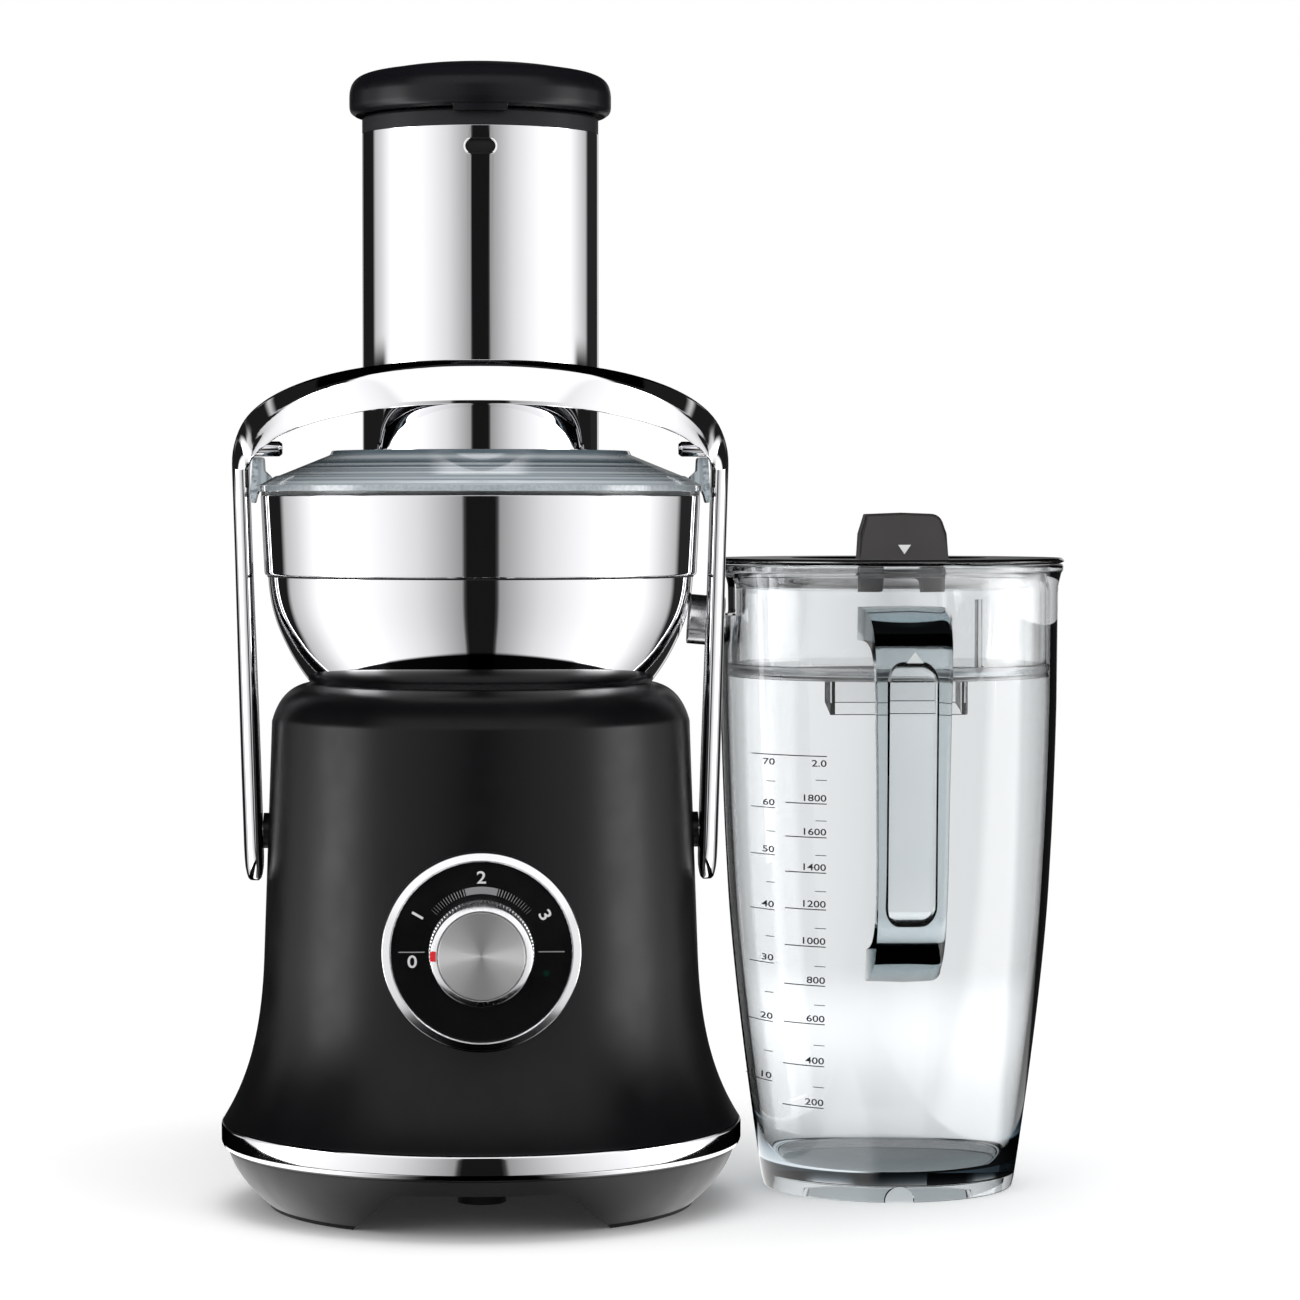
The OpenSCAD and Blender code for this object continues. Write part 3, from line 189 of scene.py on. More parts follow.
SHARP_TURN = 0.4


def soften(outline, radius, steps=3):
    """A closed outline with its sharp corners rounded; a third number is a corner's own radius."""
    soft = []
    for i, point in enumerate(outline):
        here = Vector(point[:2])
        reach = point[2] if len(point) > 2 else radius
        back = Vector(outline[i - 1][:2]) - here
        ahead = Vector(outline[(i + 1) % len(outline)][:2]) - here
        turn = math.pi - back.angle(ahead, math.pi)
        if turn < SHARP_TURN or reach <= 0 or here.x < 1e-6:
            soft.append(tuple(here))
            continue
        cut = min(reach * math.tan(turn / 2), 0.45 * back.length, 0.45 * ahead.length)
        soft += bezier([here + back.normalized() * cut, here, here + ahead.normalized() * cut],
                       steps)
    return soft


def revolve(outline, steps):
    """A solid turned about Z from a closed outline of (radius, height)."""
    form = bmesh.new()
    rings = []
    for i in range(steps):
        angle = 2 * math.pi * i / steps
        rings.append([form.verts.new((r * math.sin(angle), -r * math.cos(angle), z))
                      for r, z in outline])
    for i, ring in enumerate(rings):
        beside = rings[(i + 1) % steps]
        for j in range(len(outline)):
            k = (j + 1) % len(outline)
            form.faces.new((ring[j], ring[k], beside[k], beside[j]))
    bmesh.ops.remove_doubles(form, verts=form.verts, dist=1e-4)
    bmesh.ops.recalc_face_normals(form, faces=form.faces)
    return form


def loft(rings, capped=True, looped=False):
    """A skin through rings that all hold the same number of points."""
    form = bmesh.new()
    loops = [[form.verts.new(p) for p in ring] for ring in rings]
    count = len(loops[0])
    pairs = list(zip(loops, loops[1:]))
    if looped:
        pairs.append((loops[-1], loops[0]))
    for near, far in pairs:
        for j in range(count):
            k = (j + 1) % count
            form.faces.new((near[j], near[k], far[k], far[j]))
    if capped and not looped:
        form.faces.new(loops[0])
        form.faces.new(loops[-1])
    bmesh.ops.recalc_face_normals(form, faces=form.faces)
    return form


def prism(outline, z0, z1):
    """An upright solid over a closed outline."""
    return loft([[(x, y, z0) for x, y in outline], [(x, y, z1) for x, y in outline]])


def slab(outline, axis, ends):
    """A solid along X over an outline of (y, z), or along Y over one of (x, z)."""
    return loft([[(end, a, b) if axis == X else (a, end, b) for a, b in outline]
                 for end in ends])


def drum(radius, z0, z1, steps):
    """A plain round plug about Z."""
    return revolve([(0, z0), (radius, z0), (radius, z1), (0, z1)], steps)


def rod(radius, start, end, steps=48):
    """A round bar between two points."""
    start, end = Vector(start), Vector(end)
    axis = (end - start).normalized()
    side = axis.orthogonal().normalized()
    other = axis.cross(side)
    rings = [[centre + radius * (math.cos(a) * side + math.sin(a) * other)
              for a in (2 * math.pi * i / steps for i in range(steps))]
             for centre in (start, end)]
    return loft(rings)


def turned(form, matrix):
    bmesh.ops.transform(form, matrix=matrix, verts=form.verts)
    return form


def joined(*forms):
    """Several solids as one set of vertices and faces."""
    whole = bmesh.new()
    for form in forms:
        spare = bpy.data.meshes.new("spare")
        form.to_mesh(spare)
        form.free()
        whole.from_mesh(spare)
        bpy.data.meshes.remove(spare)
    return whole


def facing_front(y, x=0.0):
    """Turns +Z to the front and puts the origin at the dial's height."""
    return Matrix.Translation((x, y, DIAL_Z)) @ Matrix.Rotation(math.pi / 2, 4, "X")


def at_jug(form):
    return turned(form, Matrix.Translation((JUG_X, JUG_Y, 0)))


def moved_to_jug(obj):
    obj.data.transform(Matrix.Translation((JUG_X * MM, JUG_Y * MM, 0)))


def as_object(name, form):
    bmesh.ops.scale(form, vec=(MM, MM, MM), verts=form.verts)
    mesh = bpy.data.meshes.new(name)
    form.to_mesh(mesh)
    form.free()
    obj = bpy.data.objects.new(name, mesh)
    bpy.context.scene.collection.objects.link(obj)
    return obj


def settle(obj):
    """The object's modifiers become its mesh."""
    graph = bpy.context.evaluated_depsgraph_get()
    mesh = bpy.data.meshes.new_from_object(obj.evaluated_get(graph))
    obj.modifiers.clear()
    obj.data = mesh
    return obj


def combine(obj, form, operation="DIFFERENCE"):
    """Cuts a form out of the object, or adds it to the object."""
    tool = as_object("tool", form)
    change = obj.modifiers.new("change", "BOOLEAN")
    change.operation = operation
    change.solver = "EXACT"
    change.object = tool
    settle(obj)
    bpy.data.objects.remove(tool)
    return obj


def bevelled(obj, width, angle):
    edge = obj.modifiers.new("edge", "BEVEL")
    edge.width = width * MM
    edge.segments = 2
    edge.limit_method = "ANGLE"
    edge.angle_limit = math.radians(angle)
    return settle(obj)


# Bodies that the polished steel does not mirror
UNMIRRORED = ("jug", "separator", "lid")


def finished(obj, finish, body, slot, *nodes, sharp=32):
    """Smooth faces with crisp edges, a finish, a body to ride on and the nodes it stands for."""
    mesh = obj.data
    mesh.materials.clear()
    mesh.materials.append(bpy.data.materials[finish])
    for face in mesh.polygons:
        face.material_index = 0
    mesh.shade_smooth()
    mesh.set_sharp_from_angle(angle=math.radians(sharp))
    level = obj.modifiers.new("level", "WEIGHTED_NORMAL")
    level.keep_sharp = True
    settle(obj)
    obj.visible_glossy = body not in UNMIRRORED
    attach(obj, body)
    if nodes:
        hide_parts(*nodes)
    return obj


def piece(name, form, finish, body, slot, *nodes, sharp=32):
    return finished(as_object(name, form), finish, body, slot, *nodes, sharp=sharp)


def figure_form(text, height, width_share=1.0):
    """Figures as a flat solid: x along the line, y up, z from 0 to 1 through the print."""
    curve = bpy.data.curves.new("figure", "FONT")
    curve.body = text
    curve.extrude = 0.5
    curve.resolution_u = 4
    curve.offset = 0.012
    curve.align_x = "CENTER"
    holder = bpy.data.objects.new("figure", curve)
    bpy.context.scene.collection.objects.link(holder)
    graph = bpy.context.evaluated_depsgraph_get()
    mesh = bpy.data.meshes.new_from_object(holder.evaluated_get(graph))
    form = bmesh.new()
    form.from_mesh(mesh)
    bpy.data.objects.remove(holder)
    bpy.data.meshes.remove(mesh)
    top = max(v.co.y for v in form.verts)
    for v in form.verts:
        v.co = Vector((v.co.x * height / top * width_share, v.co.y * height / top, v.co.z + 0.5))
    return form


# ---- nodes of materials and of the sky ----
class Value:
    """A number in a node tree that adds, subtracts and multiplies like any other."""

    def __init__(self, wire, socket):
        self.wire, self.socket = wire, socket

    def __add__(self, other):
        return self.wire.math("ADD", self, other)

    def __sub__(self, other):
        return self.wire.math("SUBTRACT", self, other)

    def __rsub__(self, other):
        return self.wire.math("SUBTRACT", other, self)

    def __mul__(self, other):
        return self.wire.math("MULTIPLY", self, other)

    def __abs__(self):
        return self.wire.math("ABSOLUTE", self)


class Wiring:
    """Short ways to put nodes into a tree and join them."""

    def __init__(self, owner):
        owner.use_nodes = True
        self.tree = owner.node_tree
        self.tree.nodes.clear()

    def feed(self, value, socket):
        """Sets a socket to a number or a colour, or joins another node to it."""
        value = value.socket if isinstance(value, Value) else value
        if isinstance(value, bpy.types.NodeSocket):
            self.tree.links.new(value, socket)
        else:
            socket.default_value = value

    def node(self, kind, *values, **named):
        """A new node with its inputs fed, by their order or by their names."""
        node = self.tree.nodes.new("ShaderNode" + kind)
        for socket, value in zip(node.inputs, values):
            self.feed(value, socket)
        for key, value in named.items():
            self.feed(value, node.inputs[key.replace("_", " ")])
        return node

    def place(self, kind):
        return self.node("TexCoord").outputs[kind]

    def math(self, operation, *values):
        node = self.node("Math", *values)
        node.operation = operation
        return Value(self, node.outputs[0])

    def reach(self, x, y):
        """Distance of (x, y) from the middle."""
        return self.math("SQRT", x * x + y * y)

    def span(self, value, low_in, high_in, low_out, high_out):
        """A smooth step from one level to another."""
        node = self.node("MapRange", value, low_in, high_in, low_out, high_out)
        node.interpolation_type = "SMOOTHSTEP"
        return Value(self, node.outputs["Result"])

    def around(self, x, y, table):
        """The table's value at the angle of (x, y) from the front."""
        turn = self.math("ARCTAN2", x, y * -1.0)
        node = self.node("FloatCurve")
        curve = node.mapping.curves[0]
        peak = max(value for angle, value in table)
        spots = [((angle + 180) / 360, value / peak) for angle, value in table]
        while len(curve.points) < len(spots):
            curve.points.new(0.5, 0.5)
        for point, spot in zip(curve.points, spots):
            point.location = spot
            point.handle_type = "VECTOR"
        node.mapping.update()
        self.feed(turn * (0.5 / math.pi) + 0.5, node.inputs["Value"])
        return Value(self, node.outputs["Value"]) * peak

    def ray(self, name):
        return Value(self, self.node("LightPath").outputs[name])

    def mirror_ray(self):
        return self.ray("Is Glossy Ray") * (1.0 - self.ray("Is Transmission Ray"))

    def parted(self, vector):
        return [Value(self, part) for part in self.node("SeparateXYZ", vector).outputs]

    def blended(self, direct, mirrored, bent, other):
        """A value each for the camera's rays, for mirrors, through plastic and for the rest."""
        seen, mirror = self.ray("Is Camera Ray"), self.mirror_ray()
        through = self.ray("Is Transmission Ray")
        total = seen * direct
        for share, value in ((mirror, mirrored), (through, bent),
                             (1.0 - (seen + (mirror + through)), other)):
            total = total + share * value
        return total


class Recipe(Wiring):
    """A new material with one shader."""

    def __init__(self, name):
        super().__init__(bpy.data.materials.new(name))
        self.skin = self.node("BsdfPrincipled")
        self.out = self.node("OutputMaterial", self.skin.outputs[0])
        self.here = self.place("Object")

    def noise(self, scale, detail=2.0, stretch=None):
        source = self.here
        if stretch:
            source = self.node("Mapping", source, Scale=stretch).outputs["Vector"]
        return self.node("TexNoise", source, Scale=scale, Detail=detail).outputs["Fac"]

    def between(self, value, start, end, low_in=0.3, high_in=0.7):
        return self.node("MapRange", value, low_in, high_in, start, end).outputs["Result"]

    def mixed(self, share, first, second):
        node = self.node("Mix")
        node.data_type = "RGBA"
        self.feed(share, node.inputs["Factor"])
        for socket in node.inputs:
            if socket.type == "RGBA":
                socket.default_value = (*(first if socket.name == "A" else second), 1)
        return next(s for s in node.outputs if s.type == "RGBA")

    def set(self, **values):
        for key, value in values.items():
            self.feed(value, self.skin.inputs[key.replace("_", " ")])

    def toned(self, base, spread, scale):
        """The base colour, a little lighter and darker from place to place."""
        darker = tuple(c * (1 - spread) for c in base)
        lighter = tuple(min(1.0, c * (1 + spread)) for c in base)
        self.set(Base_Color=self.mixed(self.noise(scale), darker, lighter))

    def bumped(self, height, strength, distance):
        bump = self.node("Bump", Strength=strength, Distance=distance * MM, Height=height)
        self.set(Normal=bump.outputs["Normal"])

    def rough(self, value, low_end, high_end):
        self.set(Roughness=self.between(value, low_end, high_end))

    def waves(self, scale, distortion=0.0, source=None, **kinds):
        """Even waves: the bands or rings that the named settings choose."""
        node = self.node("TexWave", source or self.here, Scale=scale, Distortion=distortion)
        for key, value in kinds.items():
            setattr(node, key, value)
        return node.outputs["Fac"]


def moulded(name, base, rough, grain=0.5, depth=0.02, spread=0.08, specular=0.35, coat=0.0):
    """Moulded plastic: a fine grain, a broad change of tone and of gloss."""
    mix = Recipe(name)
    mix.toned(base, spread, 22.0)
    mix.rough(mix.noise(60.0, 3.0), rough - 0.04, rough + 0.05)
    mix.bumped(mix.noise(1000 / grain, 3.0), 0.35, depth)
    mix.set(Specular_IOR_Level=specular, Coat_Weight=coat, Coat_Roughness=0.08)


def polished(name, base, rough, scratch=0.004):
    """Polished metal: nearly a mirror, with the faintest drawing lines."""
    mix = Recipe(name)
    mix.toned(base, 0.02, 14.0)
    mix.rough(mix.noise(40.0, 4.0), rough, rough * 1.6)
    mix.bumped(mix.noise(180.0, 2.0, (1.0, 1.0, 0.05)), 0.12, scratch)
    mix.set(Metallic=1.0)


def brushed(name, base, rough, stretch, scale=900.0, depth=0.02):
    """Brushed metal: fine lines along the way that it was worked."""
    mix = Recipe(name)
    mix.toned(base, 0.05, 25.0)
    lines = mix.noise(scale, 3.0, stretch)
    mix.rough(lines, rough - 0.06, rough + 0.08)
    mix.bumped(lines, 0.4, depth)
    mix.set(Metallic=1.0)
    return mix


SHADOW_TINT = (0.86, 0.90, 0.91, 1)


def clear_plastic(name, tint, density, rough, ior=1.49, haze=0.015, body_colour=(1.0, 1.0, 1.0),
                  coat=0.0, through_share=1.0):
    """Clear plastic: tinted through its thickness, with a soft haze and flow lines."""
    mix = Recipe(name)
    mix.toned(body_colour, 0.015, 9.0)
    mix.rough(mix.noise(30.0, 3.0), rough, rough + haze)
    mix.bumped(mix.noise(14.0, 1.0), 0.12, 0.05)
    mix.set(Transmission_Weight=through_share, IOR=ior, Coat_Weight=coat, Coat_Roughness=0.02)
    through = mix.node("BsdfTransparent", SHADOW_TINT)
    either = mix.node("MixShader", mix.ray("Is Shadow Ray"), mix.skin.outputs[0],
                      through.outputs[0])
    depth = mix.node("VolumeAbsorption", (*tint, 1), density)
    mix.feed(either.outputs[0], mix.out.inputs["Surface"])
    mix.feed(depth.outputs[0], mix.out.inputs["Volume"])
    return mix


def ringed(mix, dark, pale):
    """Rings of tone round the middle, as turned plastic shows, and specks on the front ears."""
    flat = mix.node("Mapping", mix.here, Scale=(1, 1, 0)).outputs["Vector"]
    size = mix.node("VectorMath", flat)
    size.operation = "LENGTH"
    lines = mix.node("TexNoise", Scale=240.0, Detail=3.0)
    lines.noise_dimensions = "1D"
    mix.feed(size.outputs["Value"], lines.inputs["W"])
    outside = mix.between(size.outputs["Value"], 0.0, 1.0, (COVER_RIM_R - 0.2) * MM,
                          (COVER_RIM_R + 0.6) * MM)
    behind = mix.between(mix.parted(mix.here)[Y], 0.0, 1.0, 30 * MM, 34 * MM)
    specks = mix.between(mix.noise(700.0, 3.0), 0.25, 1.1, 0.35, 0.6)
    calm = mix.node("Mix", Factor=behind, A=specks, B=0.55).outputs["Result"]
    rings = mix.between(lines.outputs["Fac"], 0.0, 1.0, 0.38, 0.62)
    tone = mix.node("Mix", Factor=outside, A=rings, B=calm).outputs["Result"]
    mix.set(Base_Color=mix.mixed(tone, dark, pale))


def spun_face(name, base):
    """The knob's face: fine rings turned about its centre."""
    mix = Recipe(name)
    mix.toned(base, 0.02, 30.0)
    way = mix.node("Tangent")
    way.direction_type = "RADIAL"
    way.axis = "Y"
    centred = mix.node("Mapping", mix.here, Location=(0, 0, -DIAL_Z * MM)).outputs["Vector"]
    rings = mix.waves(900.0, 0.4, centred, wave_type="RINGS", rings_direction="Y")
    mix.rough(rings, 0.6, 0.64)
    mix.bumped(rings, 0.05, 0.001)
    mix.set(Tangent=way.outputs["Tangent"], Metallic=1.0, Anisotropic=1.0,
            Anisotropic_Rotation=0.25)


def perforated(name, base):
    """Etched filter steel: rows of fine holes on brushed sheet, with painted shade filling the
    holes near black.
    """
    mix = brushed(name, base, 0.3, (1.0, 1.0, 0.2), 700.0)
    holes = mix.node("TexVoronoi", mix.here, Scale=800.0, Randomness=0.35)
    rim = mix.between(holes.outputs["Distance"], 0.0, 1.0, 0.26, 0.36)
    # Painted shade: the holes are coloured near black
    mix.set(Base_Color=mix.mixed(rim, (0.02, 0.02, 0.022), base))
    mix.bumped(rim, 0.8, 0.15)


def laminated(name, base):
    """Stacked sheets of core steel."""
    mix = Recipe(name)
    mix.toned(base, 0.15, 30.0)
    sheets = mix.waves(320.0, bands_direction="Z")
    mix.rough(sheets, 0.35, 0.6)
    mix.bumped(sheets, 0.6, 0.1)
    mix.set(Metallic=0.9)


def wound(name, base):
    """Enamelled copper wire."""
    mix = Recipe(name)
    mix.toned(base, 0.2, 60.0)
    wires = mix.waves(260.0, 3.0, bands_direction="DIAGONAL")
    mix.rough(wires, 0.25, 0.45)
    mix.bumped(wires, 0.8, 0.3)
    mix.set(Metallic=0.8, Coat_Weight=0.6)


# ---- operators ----
class Step(bpy.types.Operator):
    """A step in building the juicer"""
    bl_options = {"REGISTER", "UNDO"}

    def execute(self, context):
        scene = context.scene
        self.build(scene.juicer_colours, scene.juicer_sizes)
        return {"FINISHED"}

    def build(self, tones, sizes):
        raise NotImplementedError(self.bl_label)


class JUICER_OT_finishes(Step):
    """Mix every finish that the pieces wear"""
    bl_idname = "juicer.finishes"
    bl_label = "Mix Finishes"

    def build(self, tones, sizes):
        steel, satin = tuple(tones.steel), tuple(tones.satin)
        for name, base, *grade in (
                ("Housing matte", tones.housing, 0.32, 0.35, 0.006, 0.06, 0.22),
                ("Skirt moulding", tones.skirt, 0.38, 0.4, 0.01, 0.1, 0.42),
                ("Cap satin", tones.cap, 0.3, 0.3, 0.004, 0.05, 0.22),
                ("Collar moulding", tones.collar, 0.42, 0.3, 0.01, 0.06, 0.15),
                ("Dial lacquer", tones.face, 0.2, 0.6, 0.004, 0.1, 0.4, 0.3),
                ("Dial print", tones.prints, 0.5, 0.2, 0.004, 0.03),
                ("Dial print grey", rgb(150, 150, 151), 0.5, 0.2, 0.004, 0.03),
                ("Knob mark", tones.pointer, 0.4, 0.3, 0.004, 0.05),
                ("Jug print", tones.scale, 0.5, 0.2, 0.004, 0.05),
                ("White mark", rgb(244, 244, 244), 0.5, 0.2, 0.004, 0.02),
                ("Lid grip", tones.grip, 0.34, 0.35, 0.01, 0.08, 0.5),
                ("Rubber", rgb(24, 24, 25), 0.75, 0.6, 0.05, 0.15, 0.3),
                ("Inner moulding", rgb(38, 38, 40), 0.55, 0.5, 0.03, 0.1, 0.35),
                ("Switch blue", rgb(40, 60, 110), 0.4, 0.4, 0.02),
                ("Switch red", rgb(150, 34, 28), 0.4, 0.4, 0.02),
                ("Circuit board", rgb(22, 84, 48), 0.35, 0.8, 0.03, 0.2),
                ("Carbon", rgb(30, 30, 32), 0.6, 0.3, 0.05, 0.15),
                ("Indicator lens", tones.lamp, 0.12, 0.4, 0.002, 0.1, 0.6, 0.6)):
            moulded(name, tuple(base), *grade)
        polished("Polished steel", steel, 0.012)
        polished("Arm chrome", steel, 0.015)
        polished("Trim chrome", steel, 0.03)
        polished("Nozzle steel", steel, 0.17)
        polished("Bezel steel", steel, 0.13, scratch=0.01)
        polished("Screw steel", satin, 0.22, scratch=0.02)
        brushed("Basket steel", satin, 0.24, (1.0, 1.0, 0.08))
        brushed("Knob steel", steel, 0.2, (1.0, 0.05, 1.0), 1400.0, 0.006)
        brushed("Bracket aluminium", rgb(176, 178, 182), 0.42, (1.0, 1.0, 1.0), 500.0, 0.05)
        spun_face("Spun face", rgb(250, 250, 250))
        perforated("Filter steel", satin)
        laminated("Core steel", rgb(120, 122, 126))
        wound("Copper winding", rgb(184, 104, 62))
        clear_plastic("Jug clear", tuple(tones.clear), 38.0, 0.0)
        clear_plastic("Handle clear", rgb(104, 150, 162), 48.0, 0.02, 1.22)
        cover = clear_plastic("Cover clear", tuple(tones.clear), 25.0, 0.08, 1.49, 0.06,
                              rgb(190, 200, 206), 1.0, 0.2)
        ringed(cover, rgb(112, 127, 136), rgb(226, 235, 240))
        clear_plastic("Separator clear", tuple(tones.clear), 9.0, 0.02)
        clear_plastic("Seal clear", rgb(150, 156, 158), 60.0, 0.25, 1.42, 0.1)
        clear_plastic("Container smoke", tuple(tones.smoke), 240.0, 0.05)


NODE_FINISH = {
    "foot_strip": "Rubber", "cord_gland": "Rubber", "shaft_seal": "Rubber",
    "motor_mounts": "Rubber", "base_plate": "Inner moulding", "pivot_bosses": "Housing matte",
    "base_screws": "Screw steel", "stator_bolts": "Screw steel", "bearings": "Screw steel",
    "motor_shaft": "Screw steel", "pivot_pins": "Screw steel", "dial_spindle": "Screw steel",
    "speed_switch": "Switch blue", "safety_switch": "Switch red",
    "control_board": "Circuit board", "upper_bracket": "Bracket aluminium",
    "lower_bracket": "Bracket aluminium", "stator_core": "Core steel",
    "armature_core": "Core steel", "field_windings": "Copper winding",
    "armature_windings": "Copper winding", "commutator": "Copper winding",
    "brush_holders": "Carbon", "cooling_fan": "Inner moulding",
    "drive_coupling": "Inner moulding", "basket_hub": "Inner moulding",
    "bowl_liner": "Inner moulding", "grating_disc": "Basket steel",
    "indicator_lens": "Indicator lens", "filter_mesh": "Filter steel",
    "basket_rim": "Basket steel", "cover_seal": "Seal clear",
}


class JUICER_OT_frame_nodes(Step):
    """Give each carried-over frame node its finish"""
    bl_idname = "juicer.frame_nodes"
    bl_label = "Finish Frame Nodes"

    def build(self, tones, sizes):
        for node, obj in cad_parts.items():
            finish = bpy.data.materials[NODE_FINISH.get(node, "Inner moulding")]
            obj.data.materials.clear()
            obj.data.materials.append(finish)


def housing_side(inset):
    """The housing's outer line from the deck's edge down to its foot."""
    return (bezier([(71.5, DECK - inset), (82.1 - inset * 0.6, DECK - 2.2 - inset),
                    (85.6 - inset, DECK - 15.5)], 12)
            + bezier([(89.1 - inset, 99.3), (90.5 - inset, 66.3),
                      (FLARE_R - 8.8 - inset, BAND_TOP + 14), (FLARE_R - inset, BAND_TOP)], 22))


class JUICER_OT_housing(Step):
    """Build the flared motor housing"""
    bl_idname = "juicer.housing"
    bl_label = "Housing"

    def build(self, tones, sizes):
        outline = soften([(9, DECK)] + housing_side(0)
                         + housing_side(3)[::-1] + [(9, DECK - 3)], 0.8)
        housing = as_object("motor_housing_skin", revolve(outline, sizes.turns))
        combine(housing, rod(BEZEL_R + 0.05, (0, -130, DIAL_Z), (0, -60, DIAL_Z), 96))
        boss_z, gland_z = mid("pivot_bosses", Z), mid("cord_gland", Z)
        for side in (-1, 1):
            combine(housing, rod(7.3, (side * 60, 0, boss_z), (side * 110, 0, boss_z)))
        combine(housing, rod(8.05, (0, 60, gland_z), (0, 130, gland_z)))
        finished(housing, "Housing matte", "base", "housing_black", "motor_housing", sharp=40)


def skirt_side(inset):
    return bezier([(FLARE_R - 2.2 - inset, SKIRT_TOP), (FLARE_R - 4.4 - inset, 15.5),
                   (FLARE_R - 10.5 - inset, 8), (FOOT_R - inset, 1.6)], 16)


class JUICER_OT_base(Step):
    """Build the polished band and the skirt with its front arch"""
    bl_idname = "juicer.base"
    bl_label = "Base"

    def build(self, tones, sizes):
        band = soften([(FLARE_R + 0.1, BAND_TOP, 0.3), (FLARE_R + 0.4, BAND_TOP - 1.2, 1.0),
                       (FLARE_R + 0.35, BAND_TOP - 7.6, 1.5), (FLARE_R - 0.4, SKIRT_TOP + 0.9, 0.6),
                       (FLARE_R - 1.8, SKIRT_TOP)]
                      + [(FLARE_R - 8, SKIRT_TOP), (FLARE_R - 8, BAND_TOP - 2),
                         (FLARE_R - 3.5, BAND_TOP - 2), (FLARE_R - 3.5, BAND_TOP)], 0.5, 4)
        piece("trim_band_ring", revolve(band, sizes.turns), "Trim chrome", "base",
              "trim_polished", "trim_band")
        inner = [p for p in skirt_side(3.2)[::-1] if p[1] > 4.6]
        outline = soften(skirt_side(0) + [(FOOT_R - 10, 1.6), (FOOT_R - 10, 4.6)] + inner
                         + [(FLARE_R - 8, SKIRT_TOP - 2.9), (FLARE_R - 8, SKIRT_TOP)], 0.7)
        skirt = as_object("base_skirt_shell", revolve(outline, sizes.turns))
        arch = soften([(-51, -1, 0), (51, -1, 0), (51, 0, 0), (37, 15, 3), (33, 18, 3),
                       (-33, 18, 3), (-37, 15, 3), (-51, 0, 0)], 3.0, 5)
        combine(skirt, slab(arch, Y, (-130, 0)))
        bevelled(skirt, 0.5, 40)
        finished(skirt, "Skirt moulding", "base", "skirt_grey", "base_skirt")


def arc_print(r0, r1, start, end, depth):
    """A printed arc on the dial, angles counted from 3 o'clock in degrees."""
    steps = max(2, int(abs(end - start) / 2))
    angles = [math.radians(start + (end - start) * i / steps) for i in range(steps + 1)]
    outline = ([(r1 * math.cos(a), r1 * math.sin(a)) for a in angles]
               + [(r0 * math.cos(a), r0 * math.sin(a)) for a in angles[::-1]])
    return prism(outline, 0, depth)


TICK_IN_R, TICK_OUT_R = 22.7, 25.5
TICKS_EACH_SIDE = 13
# In degrees: the first tick from the top, the step, half a tick's width and what it loses a step
TICK_START, TICK_STEP, TICK_HALF, TICK_THINNER = 16.6, 2.75, 0.42, 0.027
# Each figure with its place round the dial, its lean and its distance from the middle
DIAL_FIGURES = (("0", 180, 0, 27.0), ("1", 150, 60, 28.8), ("2", 90, 0, 29.2),
                ("3", 30, -60, 28.8))


